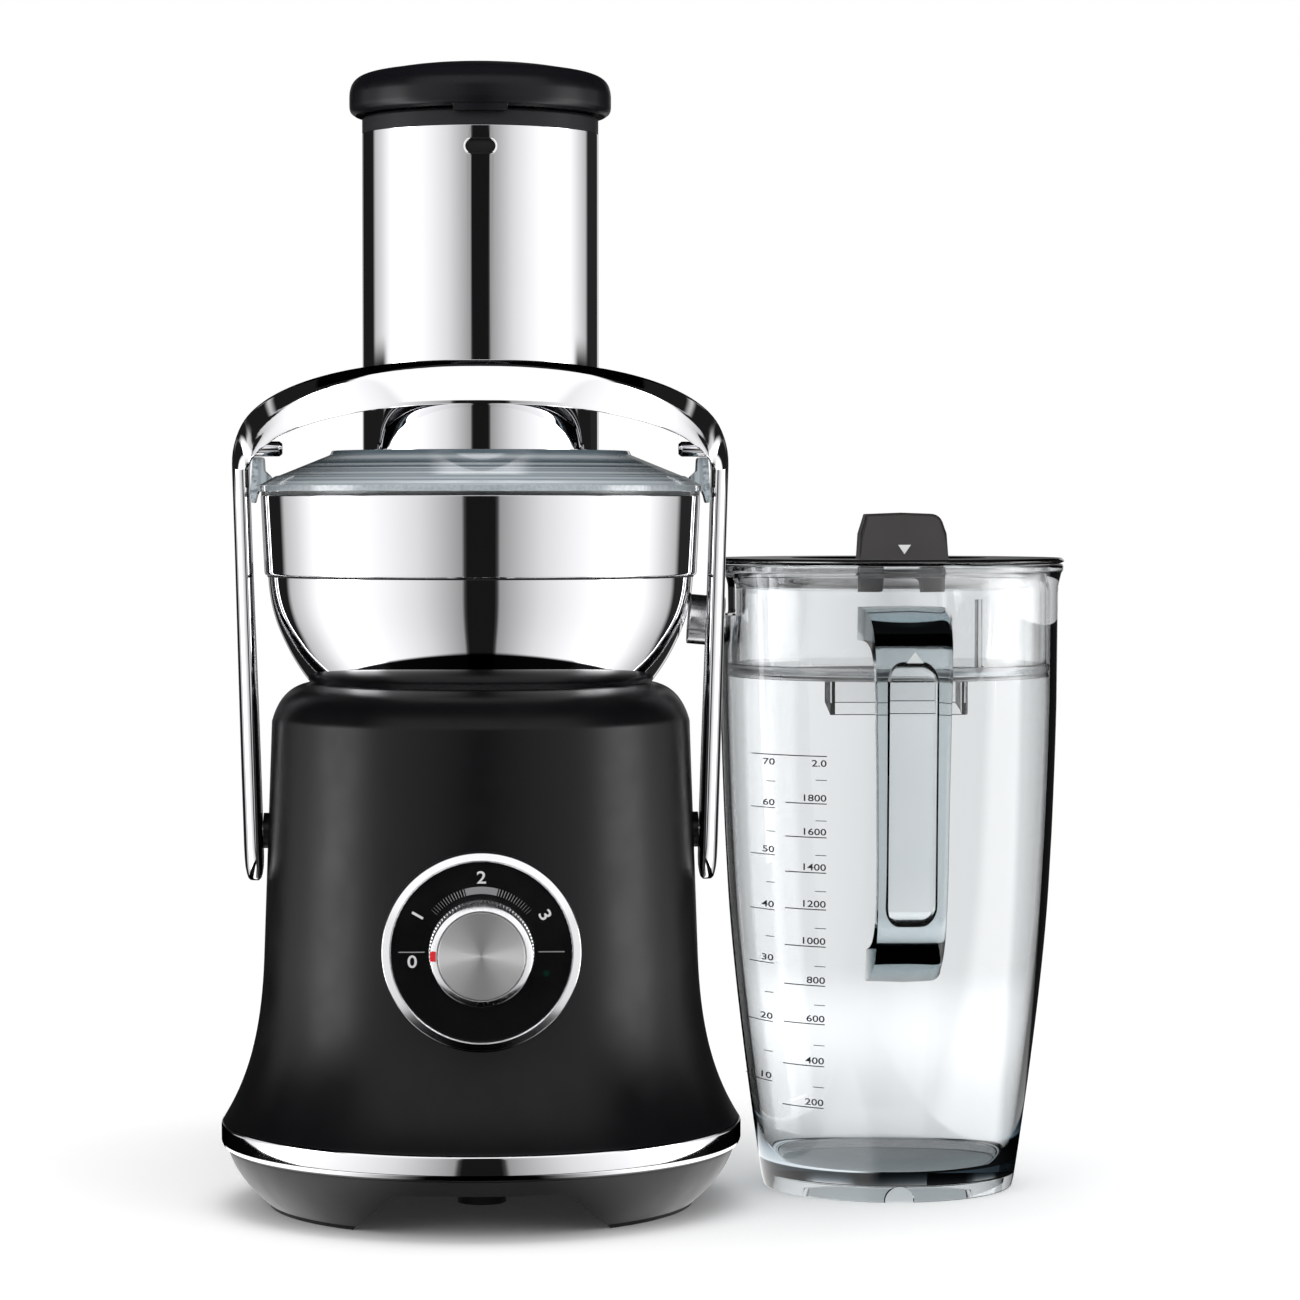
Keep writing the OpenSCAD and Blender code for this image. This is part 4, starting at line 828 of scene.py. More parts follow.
class JUICER_OT_dial(Step):
    """Build the speed dial: bezel, face, marks, knob and its spun face"""
    bl_idname = "juicer.dial"
    bl_label = "Speed Dial"

    def build(self, tones, sizes):
        inner_r = BEZEL_R - 3.8
        lip = DIAL_FACE_Y - 1.5
        ring = soften([(inner_r, 24), (inner_r, -0.5, 0.3), (inner_r + 0.5, -0.9, 0.3),
                       (BEZEL_R - 0.35, 0.2, 0.5), (BEZEL_R, 1.1), (BEZEL_R, 24)], 0.3, 4)
        ring = [(r, -z) for r, z in ring]
        piece("dial_bezel_ring", turned(revolve(ring, sizes.turns), facing_front(lip)),
              "Bezel steel", "base", "trim_polished", "dial_bezel")
        disc = soften([(3.1, 0), (inner_r - 0.02, 0), (inner_r - 0.02, -3), (3.1, -3)], 0.3)
        face = as_object("dial_face_disc",
                         turned(revolve(disc, sizes.turns), facing_front(DIAL_FACE_Y)))
        lens_x, lens_z = mid("indicator_lens", X), mid("indicator_lens", Z)
        combine(face, rod(1.25, (lens_x, DIAL_FACE_Y - 2, lens_z),
                          (lens_x, DIAL_FACE_Y + 6, lens_z)))
        finished(face, "Dial lacquer", "base", "dial_black", "dial_face")
        depth = sizes.print_depth / MM
        ticks = [arc_print(TICK_IN_R, TICK_OUT_R, 75, 105, depth)]
        for i in range(TICKS_EACH_SIDE):
            for side in (-1, 1):
                centre = 90 + side * (TICK_START + i * TICK_STEP)
                half = TICK_HALF - i * TICK_THINNER
                ticks.append(arc_print(TICK_IN_R, TICK_OUT_R, centre - half, centre + half,
                                       depth))
        for side in (-1, 1):
            ticks.append(prism([(side * 22.2, -0.2), (side * 32.4, -0.2),
                                (side * 32.4, 0.2), (side * 22.2, 0.2)], 0, depth))
        piece("dial_ticks", turned(joined(*ticks), facing_front(DIAL_FACE_Y - 0.02)),
              "Dial print grey", "base", "dial_black")
        prints = []
        height = sizes.dial_figure / MM
        for text, angle, turn, radius in DIAL_FIGURES:
            form = figure_form(text, height, 1.15)
            for v in form.verts:
                v.co.z *= depth
            drop = -height - 1.2 if text == "0" else -height / 2
            place = (Matrix.Rotation(math.radians(angle), 4, "Z")
                     @ Matrix.Translation((radius, 0, 0))
                     @ Matrix.Rotation(math.radians(turn - angle), 4, "Z")
                     @ Matrix.Translation((0, drop, 0)))
            prints.append(turned(form, place))
        piece("dial_marks", turned(joined(*prints), facing_front(DIAL_FACE_Y - 0.02)),
              "Dial print", "base", "dial_black")
        self.knob(sizes)

    def knob(self, sizes):
        depth = KNOB_BACK_Y - KNOB_FRONT_Y
        flutes, dip = sizes.flutes, sizes.flute_depth / MM
        outline = soften([(3.05, 0), (KNOB_R, 0), (KNOB_R, 2.4), (KNOB_R - 0.5, 3.0),
                          (KNOB_R - 0.5, depth - 2.6), (KNOB_R - 0.8, depth - 1.5, 0.4),
                          (KNOB_R - 3.0, depth - 0.5, 0.3), (KNOB_R - 3.3, depth - 0.8, 0.2),
                          (KNOB_R - 3.5, depth - 1.3), (3.05, depth - 1.3)], 0.3)
        form = revolve(outline, flutes * 6)
        for v in form.verts:
            r = math.hypot(v.co.x, v.co.y)
            if r > KNOB_R - 1.4 and 2.7 < v.co.z < depth - 1.7:
                wave = 0.5 + 0.5 * math.cos(flutes * math.atan2(v.co.y, v.co.x))
                share = (r - dip * wave) / r
                v.co.x *= share
                v.co.y *= share
        piece("speed_knob_grip", turned(form, facing_front(KNOB_BACK_Y)), "Knob steel", "dial",
              "knob_steel", "speed_knob", sharp=24)
        inset = soften([(0, -1.2), (KNOB_R - 3.55, -1.2), (KNOB_R - 3.55, -0.35),
                        (KNOB_R - 3.9, 0), (0, -0.9)], 0.2)
        piece("speed_knob_face", turned(revolve(inset, sizes.turns), facing_front(KNOB_FRONT_Y)),
              "Spun face", "dial", "knob_steel", "knob_face")
        mark = soften([(-2.0, -1.15), (2.0, -1.15), (2.0, 1.15), (-2.0, 1.15)], 0.6)
        tab = prism(mark, -0.5, 0.3)
        place = (facing_front(KNOB_FRONT_Y + 1.05, 1.75 - KNOB_R)
                 @ Matrix.Rotation(math.radians(-24), 4, "Y")
                 @ Matrix.Rotation(math.pi / 2, 4, "Z"))
        piece("speed_knob_mark", turned(tab, place), "Knob mark", "dial", "switch_red")


def shell_side(inset):
    """The bowl's lower shell from the deck up to the step."""
    foot = bezier([(69.6 - inset, DECK), (75.45 - inset, DECK + 7.4), (79.3 - inset, DECK + 15.3)],
                  12)
    return foot + bezier([foot[-1], (82.57 - inset, DECK + 22), (SHELL_R - 0.6 - inset,
                          DECK + 30), (SHELL_R - inset, BOWL_STEP)], 20)[1:]


NOZZLE_TILT = math.radians(5)
NOZZLE_HOLE_R = 10.5


def nozzle_matrix():
    return (Matrix.Translation((NOZZLE_END_X - 0.9, NOZZLE_Y, NOZZLE_Z))
            @ Matrix.Rotation(NOZZLE_TILT, 4, "Y") @ Matrix.Rotation(math.pi / 2, 4, "Y"))


class JUICER_OT_bowl(Step):
    """Build the polished bowl and its outlet nozzle"""
    bl_idname = "juicer.bowl"
    bl_label = "Bowl"

    def build(self, tones, sizes):
        shell = soften(shell_side(0) + shell_side(1)[::-1], 0.3)
        body = as_object("bowl_shell_skin", revolve(shell, sizes.turns))
        combine(body, turned(drum(NOZZLE_HOLE_R, -40, 10, 48), nozzle_matrix()))
        finished(body, "Polished steel", "base", "bowl_polished", "bowl_shell")
        low_r = BOWL_R - 1.5
        band = soften([(SHELL_R - 2.5, BOWL_STEP), (low_r - 0.05, BOWL_STEP, 1.5),
                       (BOWL_R, BOWL_RIM, 0.5),
                       (BOWL_R - 1, BOWL_RIM, 0.4), (low_r - 1, BOWL_STEP + 1),
                       (SHELL_R - 2.5, BOWL_STEP + 1)], 0.3, 5)
        piece("bowl_band_skin", revolve(band, sizes.turns), "Polished steel", "base",
              "bowl_polished", "bowl_band")
        # A thin dark ring in the step under the band: a painted shadow line for the gap between
        # shell and band
        shadow_ring = soften([(SHELL_R - 0.6, BOWL_STEP - 0.6), (SHELL_R + 0.35, BOWL_STEP - 0.6),
                       (SHELL_R + 0.35, BOWL_STEP - 0.03), (SHELL_R - 0.6, BOWL_STEP - 0.03)], 0.15)
        piece("bowl_seam_shadow_line", revolve(shadow_ring, sizes.turns), "Rubber", "base", "collar_grey")
        tube = soften([(9.0, -14.6), (10.4, -14.6), (10.4, 0, 0.7), (9.0, 0, 0.7)], 0.2, 4)
        piece("outlet_nozzle_tube", turned(revolve(tube, 72), nozzle_matrix()),
              "Nozzle steel", "base", "bowl_polished", "outlet_nozzle")


def rounded_box(half_x, y0, y1, radius, steps=8):
    return soften([(half_x, y0, radius), (half_x, y1, radius),
                   (-half_x, y1, radius), (-half_x, y0, radius)], radius, steps)


class JUICER_OT_cover(Step):
    """Build the clear cover with its spout and ears, and the feed chute"""
    bl_idname = "juicer.cover"
    bl_label = "Cover"

    def build(self, tones, sizes):
        wall = sizes.skin / MM
        rim = BOWL_RIM + 1.5
        r = COVER_RIM_R
        top = COVER_TOP
        outer = [(r, rim), (r, rim + 2.6), (r - 1.8, rim + 3.4), (r - 7.2, rim + 6.4),
                 (r - 8.6, rim + 6.6), (61.6, top - 1.7), (60.8, top), (57.5, top),
                 (56.9, top - 0.8), (50.5, top - 0.8), (49.9, top), (47.2, top)]
        inner = [(47.2, top - wall - 1.4), (58.6, top - wall - 1.4), (60.2, top - wall - 2.2),
                 (r - 9.4, rim + 3.7), (r - 9.4, rim + 2.2), (r - 3.4, rim + 1.2), (r - 3.4, rim)]
        dome = as_object("cover_dome", revolve(soften(outer + inner, 0.5), sizes.turns))
        spout_top = top - 5.2
        foot = BIN_TOP + 0.5
        outside = [[(x, y, z) for x, y in rounded_box(SPOUT_HALF - k, 20, SPOUT_BACK - k, 22 - k)]
                   for z, k in ((foot, 0.0), (spout_top - 6, 0.0), (spout_top - 3, 0.7),
                                (spout_top - 1, 2.4), (spout_top, 5.5))]
        combine(dome, loft(outside), "UNION")
        inside = [[(x, y, z) for x, y in rounded_box(SPOUT_HALF - wall - k, 14,
                                                     SPOUT_BACK - wall - k, 20 - k)]
                  for z, k in ((foot - 1, 0.0), (spout_top - 6.6, 0.0), (spout_top - 4.4, 0.8),
                               (spout_top - 2.6, 4.0))]
        combine(dome, loft(inside))
        combine(dome, drum(BOWL_R + 0.3, foot - 2, rim, 120))
        under = soften([(0, rim - 1), (r - 3.4, rim - 1), (r - 3.4, rim + 1.2),
                        (r - 9.4, rim + 2.2), (r - 9.4, rim + 3.7), (60.2, top - wall - 2.2),
                        (58.6, top - wall - 1.4), (0, top - wall - 1.4)], 0.5)
        combine(dome, revolve(under, 120))
        combine(dome, drum(CHUTE_HOLE_R, rim - 9, top + 9, 120))
        ear_r = BOWL_R + 4.1
        ear_top = top - 2.6
        for side in (-1, 1):
            ear = soften([(r - 3.5, rim + 1.6), (r - 5.5, rim + 5.8), (r - 2.6, rim + 8.5),
                          (ear_r - 5.4, ear_top), (ear_r - 1.2, ear_top), (ear_r, rim - 4),
                          (ear_r - 1.8, rim - 4.8), (r + 0.5, rim - 1.5), (r - 0.6, rim + 1.0)],
                         1.2, 4)
            combine(dome, slab([(side * x, z) for x, z in ear], Y, (-8, 8)), "UNION")
        finished(dome, "Cover clear", "base", "smoky_clear", "cover", sharp=30)
        dome.visible_glossy = False
        chute = soften([(CHUTE_BORE_R, 246.2), (45.2, 245), (47.1, 245), (47.1, SLEEVE_TOP),
                        (CHUTE_BORE_R, SLEEVE_TOP)], 0.4)
        piece("feed_chute_tube", revolve(chute, sizes.turns), "Container smoke", "base",
              "smoky_clear", "feed_chute")


# The oblong slot: its round ends' radius, how far out they stand, and half its width
SLOT_R, SLOT_END, SLOT_HALF = 2.65, 3.4, 6.05


class JUICER_OT_chute(Step):
    """Build the polished sleeve with its locating slot, and the collar"""
    bl_idname = "juicer.chute"
    bl_label = "Chute Sleeve"

    def build(self, tones, sizes):
        sleeve = soften([(SLEEVE_R - 1.1, COVER_TOP + 0.05), (SLEEVE_R, COVER_TOP + 0.05, 0.4),
                         (SLEEVE_R, SLEEVE_TOP, 0.2), (SLEEVE_R - 1.1, SLEEVE_TOP)], 0.15)
        skin = as_object("chute_sleeve_skin", revolve(sleeve, sizes.turns))
        slot_z = SLEEVE_TOP - 8.5
        slot = [(SLOT_END + SLOT_R * math.cos(a), SLOT_R * math.sin(a))
                for a in (math.radians(-90 + 15 * i) for i in range(13))]
        slot += [(-x, -y) for x, y in slot]
        combine(skin, slab([(x, slot_z + z) for x, z in slot], Y, (-80, -20)))
        finished(skin, "Polished steel", "base", "bowl_polished", "chute_sleeve")
        frame_ring = loft([[(x * (1 + k / SLOT_HALF), -(SLEEVE_R ** 2 - x * x) ** 0.5 - rise,
                             slot_z + z * (1 + k / SLOT_R)) for x, z in slot]
                           for k, rise in ((0.0, -0.9), (0.0, 0.25), (0.35, 0.4), (0.7, 0.25),
                                           (0.7, -0.9))], looped=True)
        piece("chute_slot_frame", frame_ring, "Trim chrome", "base", "trim_polished")
        # A dark plate just inside the slot: painted shade, so the slot reads black
        slot_shade = loft([[(x * 0.99, -(SLEEVE_R ** 2 - x * x) ** 0.5 + deep, slot_z + z * 0.99)
                      for x, z in slot] for deep in (0.7, 1.0)])
        piece("chute_slot_shade_plate", slot_shade, "Rubber", "base", "collar_grey")
        collar = soften([(44.5, SLEEVE_TOP + 0.05), (SLEEVE_R, SLEEVE_TOP + 0.05, 0.3),
                         (SLEEVE_R, COLLAR_TOP - 1.0, 0.5), (SLEEVE_R - 1, COLLAR_TOP, 0.5),
                         (45.5, COLLAR_TOP, 0.5), (44.5, COLLAR_TOP - 1)], 0.3)
        piece("chute_collar_ring", revolve(collar, sizes.turns), "Collar moulding", "base",
              "collar_grey", "chute_collar")


class JUICER_OT_pusher(Step):
    """Build the food pusher: its cap with a tab, and its hollow body"""
    bl_idname = "juicer.pusher"
    bl_label = "Pusher"

    def build(self, tones, sizes):
        base = COLLAR_TOP + 0.5
        r, top = CAP_R, CAP_TOP
        cap = soften([(0, base), (r - 2.4, base)]
                     + bezier([(r - 1.6, base + 0.6), (r, base + 1.4), (r, base + 4)], 6)
                     + bezier([(r, base + 8), (r - 0.3, base + 14.5), (r - 3.5, base + 16.6),
                               (r - 12, top - 3.6)], 14)
                     + bezier([(r - 17, top - 2.7), (0.5 * r, top - 0.9), (0.28 * r, top),
                               (0, top)], 8), 0.5)
        cap_piece = as_object("pusher_cap_form", revolve(cap, sizes.turns))
        angles = [math.radians(a) for a in range(-102, -77, 3)]
        inner = SLEEVE_R + 0.6
        tab = ([(inner * math.cos(a), inner * math.sin(a)) for a in angles]
               + [((r - 1.3) * math.cos(a), (r - 1.3) * math.sin(a)) for a in angles[::-1]])
        combine(cap_piece, prism(tab, base - 2, base + 2), "UNION")
        bevelled(cap_piece, 0.3, 50)
        finished(cap_piece, "Cap satin", "pusher", "cap_black", "pusher_cap")
        foot = low("pusher_body", Z)
        out = high("pusher_body", X)
        body = soften([(0, foot)] + bezier([(out - 3, foot), (out, foot), (out, foot + 3)], 6)
                      + [(out, base - 0.05), (out - 2.4, base - 0.05), (out - 2.4, foot + 3),
                         (0, foot + 3)], 0.4)
        piece("pusher_body_tube", revolve(body, sizes.turns), "Container smoke", "pusher",
              "bin_smoke", "pusher_body")


PIVOT_Z = 152.7
BAR_TOP_X = ARM_OUT_X - 3.6
BAR_FOOT_X = 93.4
HANDLE_RISE = 34.5
HANDLE_BOW = -HANDLE_FRONT - 6.5
# Roundness of the handle's line seen from the front
BOW_POWER = 0.816
# How far towards the inside the bar's front edge lies
NOSE = -1.3
BAR_POINTS = 64
BOW_STEPS = 72
# Half thickness and half depth of the handle where it starts, and at its middle
BOW_START, BOW_MIDDLE = (3.6, 8.0), (8.7, 6.5)


def bar_section(hu, hb):
    """The side bar's section as (outward, forward): its front edge lies towards the inside."""
    points = []
    for i in range(BAR_POINTS):
        angle = 2 * math.pi * i / BAR_POINTS
        u, b = math.cos(angle), math.sin(angle)
        reach = hu - NOSE if u > 0 else hu + NOSE
        points.append(Vector((NOSE + reach * signed_power(u, 0.9), hb * signed_power(b, 0.86))))
    return points


def bow_section(hu, hb, band):
    """The handle's section: a leaning front face under a dark upper slope."""
    face = [(-hu + 0.5, hb), (-hu * 0.3, hb * 0.86), (hu - band - 1.5, hb * 0.64),
            (hu - band, hb * 0.55)]
    points = bezier(face, 12)
    back = max(0.55 * hb - 1.2 * (band - 0.4), -0.75 * hb)
    points += bezier([(hu - band, hb * 0.55), (hu - 0.4, back), (hu, back - 0.4)], 8)[1:]
    points += bezier([(hu, back - 0.4), (hu, -hb), (0, -hb)], 8)[1:]
    points += bezier([(0, -hb), (-hu, -hb), (-hu, 0), (-hu, hb * 0.8)], 10)[1:]
    points += bezier([(-hu, hb * 0.8), (-hu, hb), (-hu + 0.5, hb)], 4)[1:-1]
    points = [Vector(p) for p in points]
    first = max(range(len(points)), key=lambda i: points[i].x)
    ring = points[first:] + points[:first]
    return [ring[0]] + ring[:0:-1]


def arm_section(hu, hb, share, band):
    """The section part of the way from the bar's form to the handle's."""
    bar, bow = bar_section(hu, hb), bow_section(hu, hb, band)
    bow = evened(bow, len(bar))
    bar = evened(bar, len(bar))
    return [a.lerp(b, share) for a, b in zip(bar, bow)]


def evened(points, count):
    """The same closed outline with its points spread evenly."""
    ring = points + [points[0]]
    spans = [(b - a).length for a, b in zip(ring, ring[1:])]
    total = sum(spans)
    even, gone, i = [], 0.0, 0
    for k in range(count):
        want = total * k / count
        while gone + spans[i] < want:
            gone += spans[i]
            i += 1
        even.append(ring[i].lerp(ring[i + 1], (want - gone) / spans[i]))
    return even


def signed_power(value, power):
    return math.copysign(abs(value) ** power, value)


def bow_lift(angle):
    return max(math.cos(math.radians(angle)), 0.0) ** BOW_POWER


def bow_point(angle):
    lift = bow_lift(angle)
    return Vector((BAR_TOP_X * signed_power(math.sin(math.radians(angle)), BOW_POWER),
                   -HANDLE_BOW * lift ** 2.2, ARM_TOP_Z + HANDLE_RISE * lift))


class JUICER_OT_arm(Step):
    """Build the locking arm with its handle, and the locking pins"""
    bl_idname = "juicer.arm"
    bl_label = "Locking Arm"

    def bar_rings(self, side):
        length = ARM_TOP_Z - PIVOT_Z
        rings = []
        for z, half_w, half_t in ((ARM_LOW_Z, 3.6, 1.9), (ARM_LOW_Z + 0.9, 6.0, 2.7),
                                  (ARM_LOW_Z + 2.6, 7.8, 3.2), (ARM_LOW_Z + 5.4, 9.6, 3.7),
                                  (ARM_LOW_Z + 9.0, 11.2, 3.9), (PIVOT_Z - 6, 12.0, 4.0),
                                  (PIVOT_Z + 8, 12.0, 4.0), (PIVOT_Z + length * 0.2, 11.2, 4.0),
                                  (PIVOT_Z + length * 0.4, 9.8, 3.9),
                                  (PIVOT_Z + length * 0.6, 8.6, 3.75),
                                  (PIVOT_Z + length * 0.8, 8.1, 3.6)):
            x = BAR_FOOT_X + (BAR_TOP_X - BAR_FOOT_X) * (z - PIVOT_Z) / length
            rings.append([(side * (x + u), -b, z) for u, b in arm_section(half_t, half_w, 0, 0)])
        return rings

    def bow_rings(self):
        rings = []
        (thin, deep), (thick, shallow) = BOW_START, BOW_MIDDLE
        for i in range(BOW_STEPS + 1):
            angle = -90 + 180 * i / BOW_STEPS
            centre = bow_point(angle)
            before, after = bow_point(max(angle - 1, -90)), bow_point(min(angle + 1, 90))
            along = (after - before).normalized()
            if i in (0, BOW_STEPS):
                along = Vector((0, 0, 1 if i == 0 else -1))
            out = Vector((centre.x, 0, (centre.z - ARM_TOP_Z) * 2.6 + 0.01))
            out = (out - out.dot(along) * along).normalized()
            front = along.cross(out)
            lift = bow_lift(angle)
            k = lift ** 1.3
            hu = thin + (thick - thin) * k
            hb = deep + (shallow - deep) * k
            band = min(2.1 + 8.5 * (1 - lift) ** 0.8, 2 * hu - 1.5)
            share = min(1.0, lift / 0.45)
            share = share * share * (3 - 2 * share)
            rings.append([centre + u * out + b * front
                          for u, b in arm_section(hu, hb, share, band)])
        return rings

    def build(self, tones, sizes):
        rings = self.bar_rings(-1) + self.bow_rings() + self.bar_rings(1)[::-1]
        arm = as_object("locking_arm_bow", loft(rings))
        finished(arm, "Arm chrome", "locking_arm", "arm_chrome", "arm_left", "arm_right",
                 "arm_handle", sharp=50)
        pin_y, pin_z = mid("locking_pins", Y), mid("locking_pins", Z)
        pin = soften([(0, 0), (2.2, 0, 0), (3.1, 1.2, 1.0), (3.1, 13.5), (0, 13.5)], 0.6, 5)
        pins = []
        for side in (-1, 1):
            pins.append(turned(revolve(pin, 40),
                               Matrix.Translation((side * (BAR_TOP_X - 17.0), pin_y, pin_z))
                               @ Matrix.Rotation(side * math.pi / 2, 4, "Y")))
        piece("locking_pins_pair", joined(*pins), "Arm chrome", "locking_arm", "arm_chrome",
              "locking_pins")


def jug_side(inset):
    """The jug's outer line from its foot to under its rim."""
    h = JUG_TOP
    return (bezier([(53.2 - inset, 4), (59.4 - inset, 0.17 * h), (JUG_R - 5 - inset, 0.37 * h),
                    (JUG_R - 3.3 - inset, h / 2)], 16)
            + bezier([(JUG_R - 2.3 - inset, 0.57 * h), (JUG_R - 0.9 - inset, 0.69 * h),
                      (JUG_R - 0.4 - inset, 0.78 * h)], 5)
            + [(JUG_R - inset, h - 12)])


def jug_radius(z):
    """Outer radius of the jug at a height."""
    line = [(53.0, 0.0)] + jug_side(0) + [(JUG_R, JUG_TOP)]
    for (r0, z0), (r1, z1) in zip(line, line[1:]):
        if z0 <= z <= z1:
            return r0 + (r1 - r0) * (z - z0) / (z1 - z0)
    return JUG_R


def inlet_outline(half_w, radius, top):
    """Outline of the inlet across the jug's wall, as (y, z) round the nozzle's axis."""
    z = NOZZLE_Z
    arc = [(radius * math.cos(a), z - 0.6 + radius * math.sin(a))
           for a in (math.radians(180 + 12 * i) for i in range(16))]
    return soften(arc + [(radius, z + 3, 1.0), (half_w, z + 3, 1.5), (half_w, top, 1.5),
                         (-half_w, top, 1.5), (-half_w, z + 3, 1.5), (-radius, z + 3, 1.0)], 0.0)


GRIP_TOP_Z = JUG_TOP - 26
GRIP_LOW_Z = 0.4 * JUG_TOP


def grip_path():
    """The handle's middle line as (y, z) about the jug's axis, from its top root down."""
    wall = -71.0
    reach = 36.0
    return (bezier([(wall + 4, GRIP_TOP_Z + 3), (wall - reach + 14, GRIP_TOP_Z + 4),
                    (wall - reach - 1, GRIP_TOP_Z + 1), (wall - reach + 1, GRIP_TOP_Z - 26)], 16)
            + bezier([(wall - reach + 2, GRIP_TOP_Z - 60), (wall - reach + 3, GRIP_LOW_Z + 60)],
                     1)
            + bezier([(wall - reach + 4, GRIP_LOW_Z + 40), (wall - reach + 7, GRIP_LOW_Z + 10),
                      (wall - reach + 16, GRIP_LOW_Z - 2), (wall + 9, GRIP_LOW_Z - 6)], 16))


def swept(path, section):
    """Rings of a section along a path in the YZ plane; section(share) gives (x, outward) points."""
    rings = []
    spans = [math.dist(a, b) for a, b in zip(path, path[1:])]
    gone = 0.0
    for i, (y, z) in enumerate(path):
        before, after = path[max(i - 1, 0)], path[min(i + 1, len(path) - 1)]
        along = Vector((0, after[0] - before[0], after[1] - before[1])).normalized()
        out = Vector((1, 0, 0)).cross(along)
        rings.append([Vector((x, y, z)) + o * out for x, o in section(gone / sum(spans))])
        gone += spans[i] if i < len(spans) else 0
    return rings


class JUICER_OT_jug(Step):
    """Build the jug and its clear handle"""
    bl_idname = "juicer.jug"
    bl_label = "Jug"

    def build(self, tones, sizes):
        wall = sizes.jug_wall / MM
        h = JUG_TOP
        inner_r = JUG_R - wall
        inner = [p for p in jug_side(wall) if p[1] > 14]
        outline = ([(48, 0.0), (52.2, 0.0, 0.8)] + jug_side(0)
                   + [(JUG_R + 0.1, h - 9, 1.5), (JUG_RIM_R - 0.8, h - 3.6, 1.0),
                      (JUG_RIM_R, h - 2.4, 0.6), (JUG_RIM_R, h, 0.8), (inner_r, h, 0.8)]
                   + inner[::-1] + [(inner[0][0] - 3, 12, 2.5), (0, 12), (0, 7), (48, 7, 1.0)])
        jug = as_object("jug_moulding", revolve(soften(outline, 0.4, 4), sizes.turns))

        def grip_section(share):
            half_w = 15.2 * (1 + 0.28 * (1 - share) ** 7) - 1.7 * share + 2 * share ** 12
            front = 4.4 + 2.4 * (1 - share) ** 8 + 1.5 * share ** 10
            return soften([(half_w, -front, 5.5), (0, -front - 0.7, 30), (-half_w, -front, 5.5),
                           (-half_w, 6.8, 3.5), (half_w, 6.8, 3.5)], 3, 7)

        path = grip_path()
        grip = as_object("jug_grip", loft(swept(path, grip_section)))
        top_z, low_z = GRIP_TOP_Z - 12, GRIP_LOW_Z + 14
        round_end = 8
        ends = [round_end * (i / round_end) ** 2 for i in range(round_end + 1)]
        rings = []
        for z in [top_z - k for k in ends] + [low_z + k for k in ends[::-1]]:
            y = next(a[0] + (b[0] - a[0]) * (a[1] - z) / (a[1] - b[1])
                     for a, b in zip(path, path[1:]) if a[1] > z >= b[1])
            gap = min(z - low_z, top_z - z)
            open_share = 1.0
            if gap < round_end:
                open_share = math.sqrt(max(1 - (1 - gap / round_end) ** 2, 0))
            half_w = 9.8 * (0.4 + 0.6 * open_share)
            deep = 6.0 - 7.2 * open_share
            rings.append([(x, y + o, z) for x, o in
                          soften([(half_w, deep, 4.2), (half_w + 0.6, 14, 0),
                                  (-half_w - 0.6, 14, 0), (-half_w, deep, 4.2)], 4, 7)])
        combine(grip, loft(rings))
        combine(grip, revolve([(0, 4)] + jug_side(-0.03) + [(JUG_R + 0.03, h), (0, h)], 168))
        hole = inlet_outline(26, 11.0, h - 5)
        combine(jug, slab(hole, X, INLET_X))
        combine(jug, rod(6, (0, -90, 0.8), (0, -30, 0.8), 40))
        for part in (jug, grip):
            moved_to_jug(part)
        finished(jug, "Jug clear", "jug", "jug_clear", "jug_body", "jug_foot")
        finished(grip, "Handle clear", "jug", "jug_clear", "jug_handle")


# Heights of the lines beside the figures, lowest first, in millimetres
MILLILITRE_LINES = (38.5, 56.0, 73.6, 89.6, 105.8, 121.1, 136.2, 150.7, 164.5, 183.9)
OUNCE_LINES = (47.4, 72.8, 97.5, 119.8, 142.6, 162.0, 183.9)


# Where the columns of the scale start and end, and the lines' thickness
MILLILITRE_START, MILLILITRE_END, MILLILITRE_THICK = -47.0, -31.1, 0.42
OUNCE_START, OUNCE_END, OUNCE_THICK = -60.0, -51.0, 0.36
HALF_LINE_THICK = 0.3
FIGURE_WIDTH = 1.28


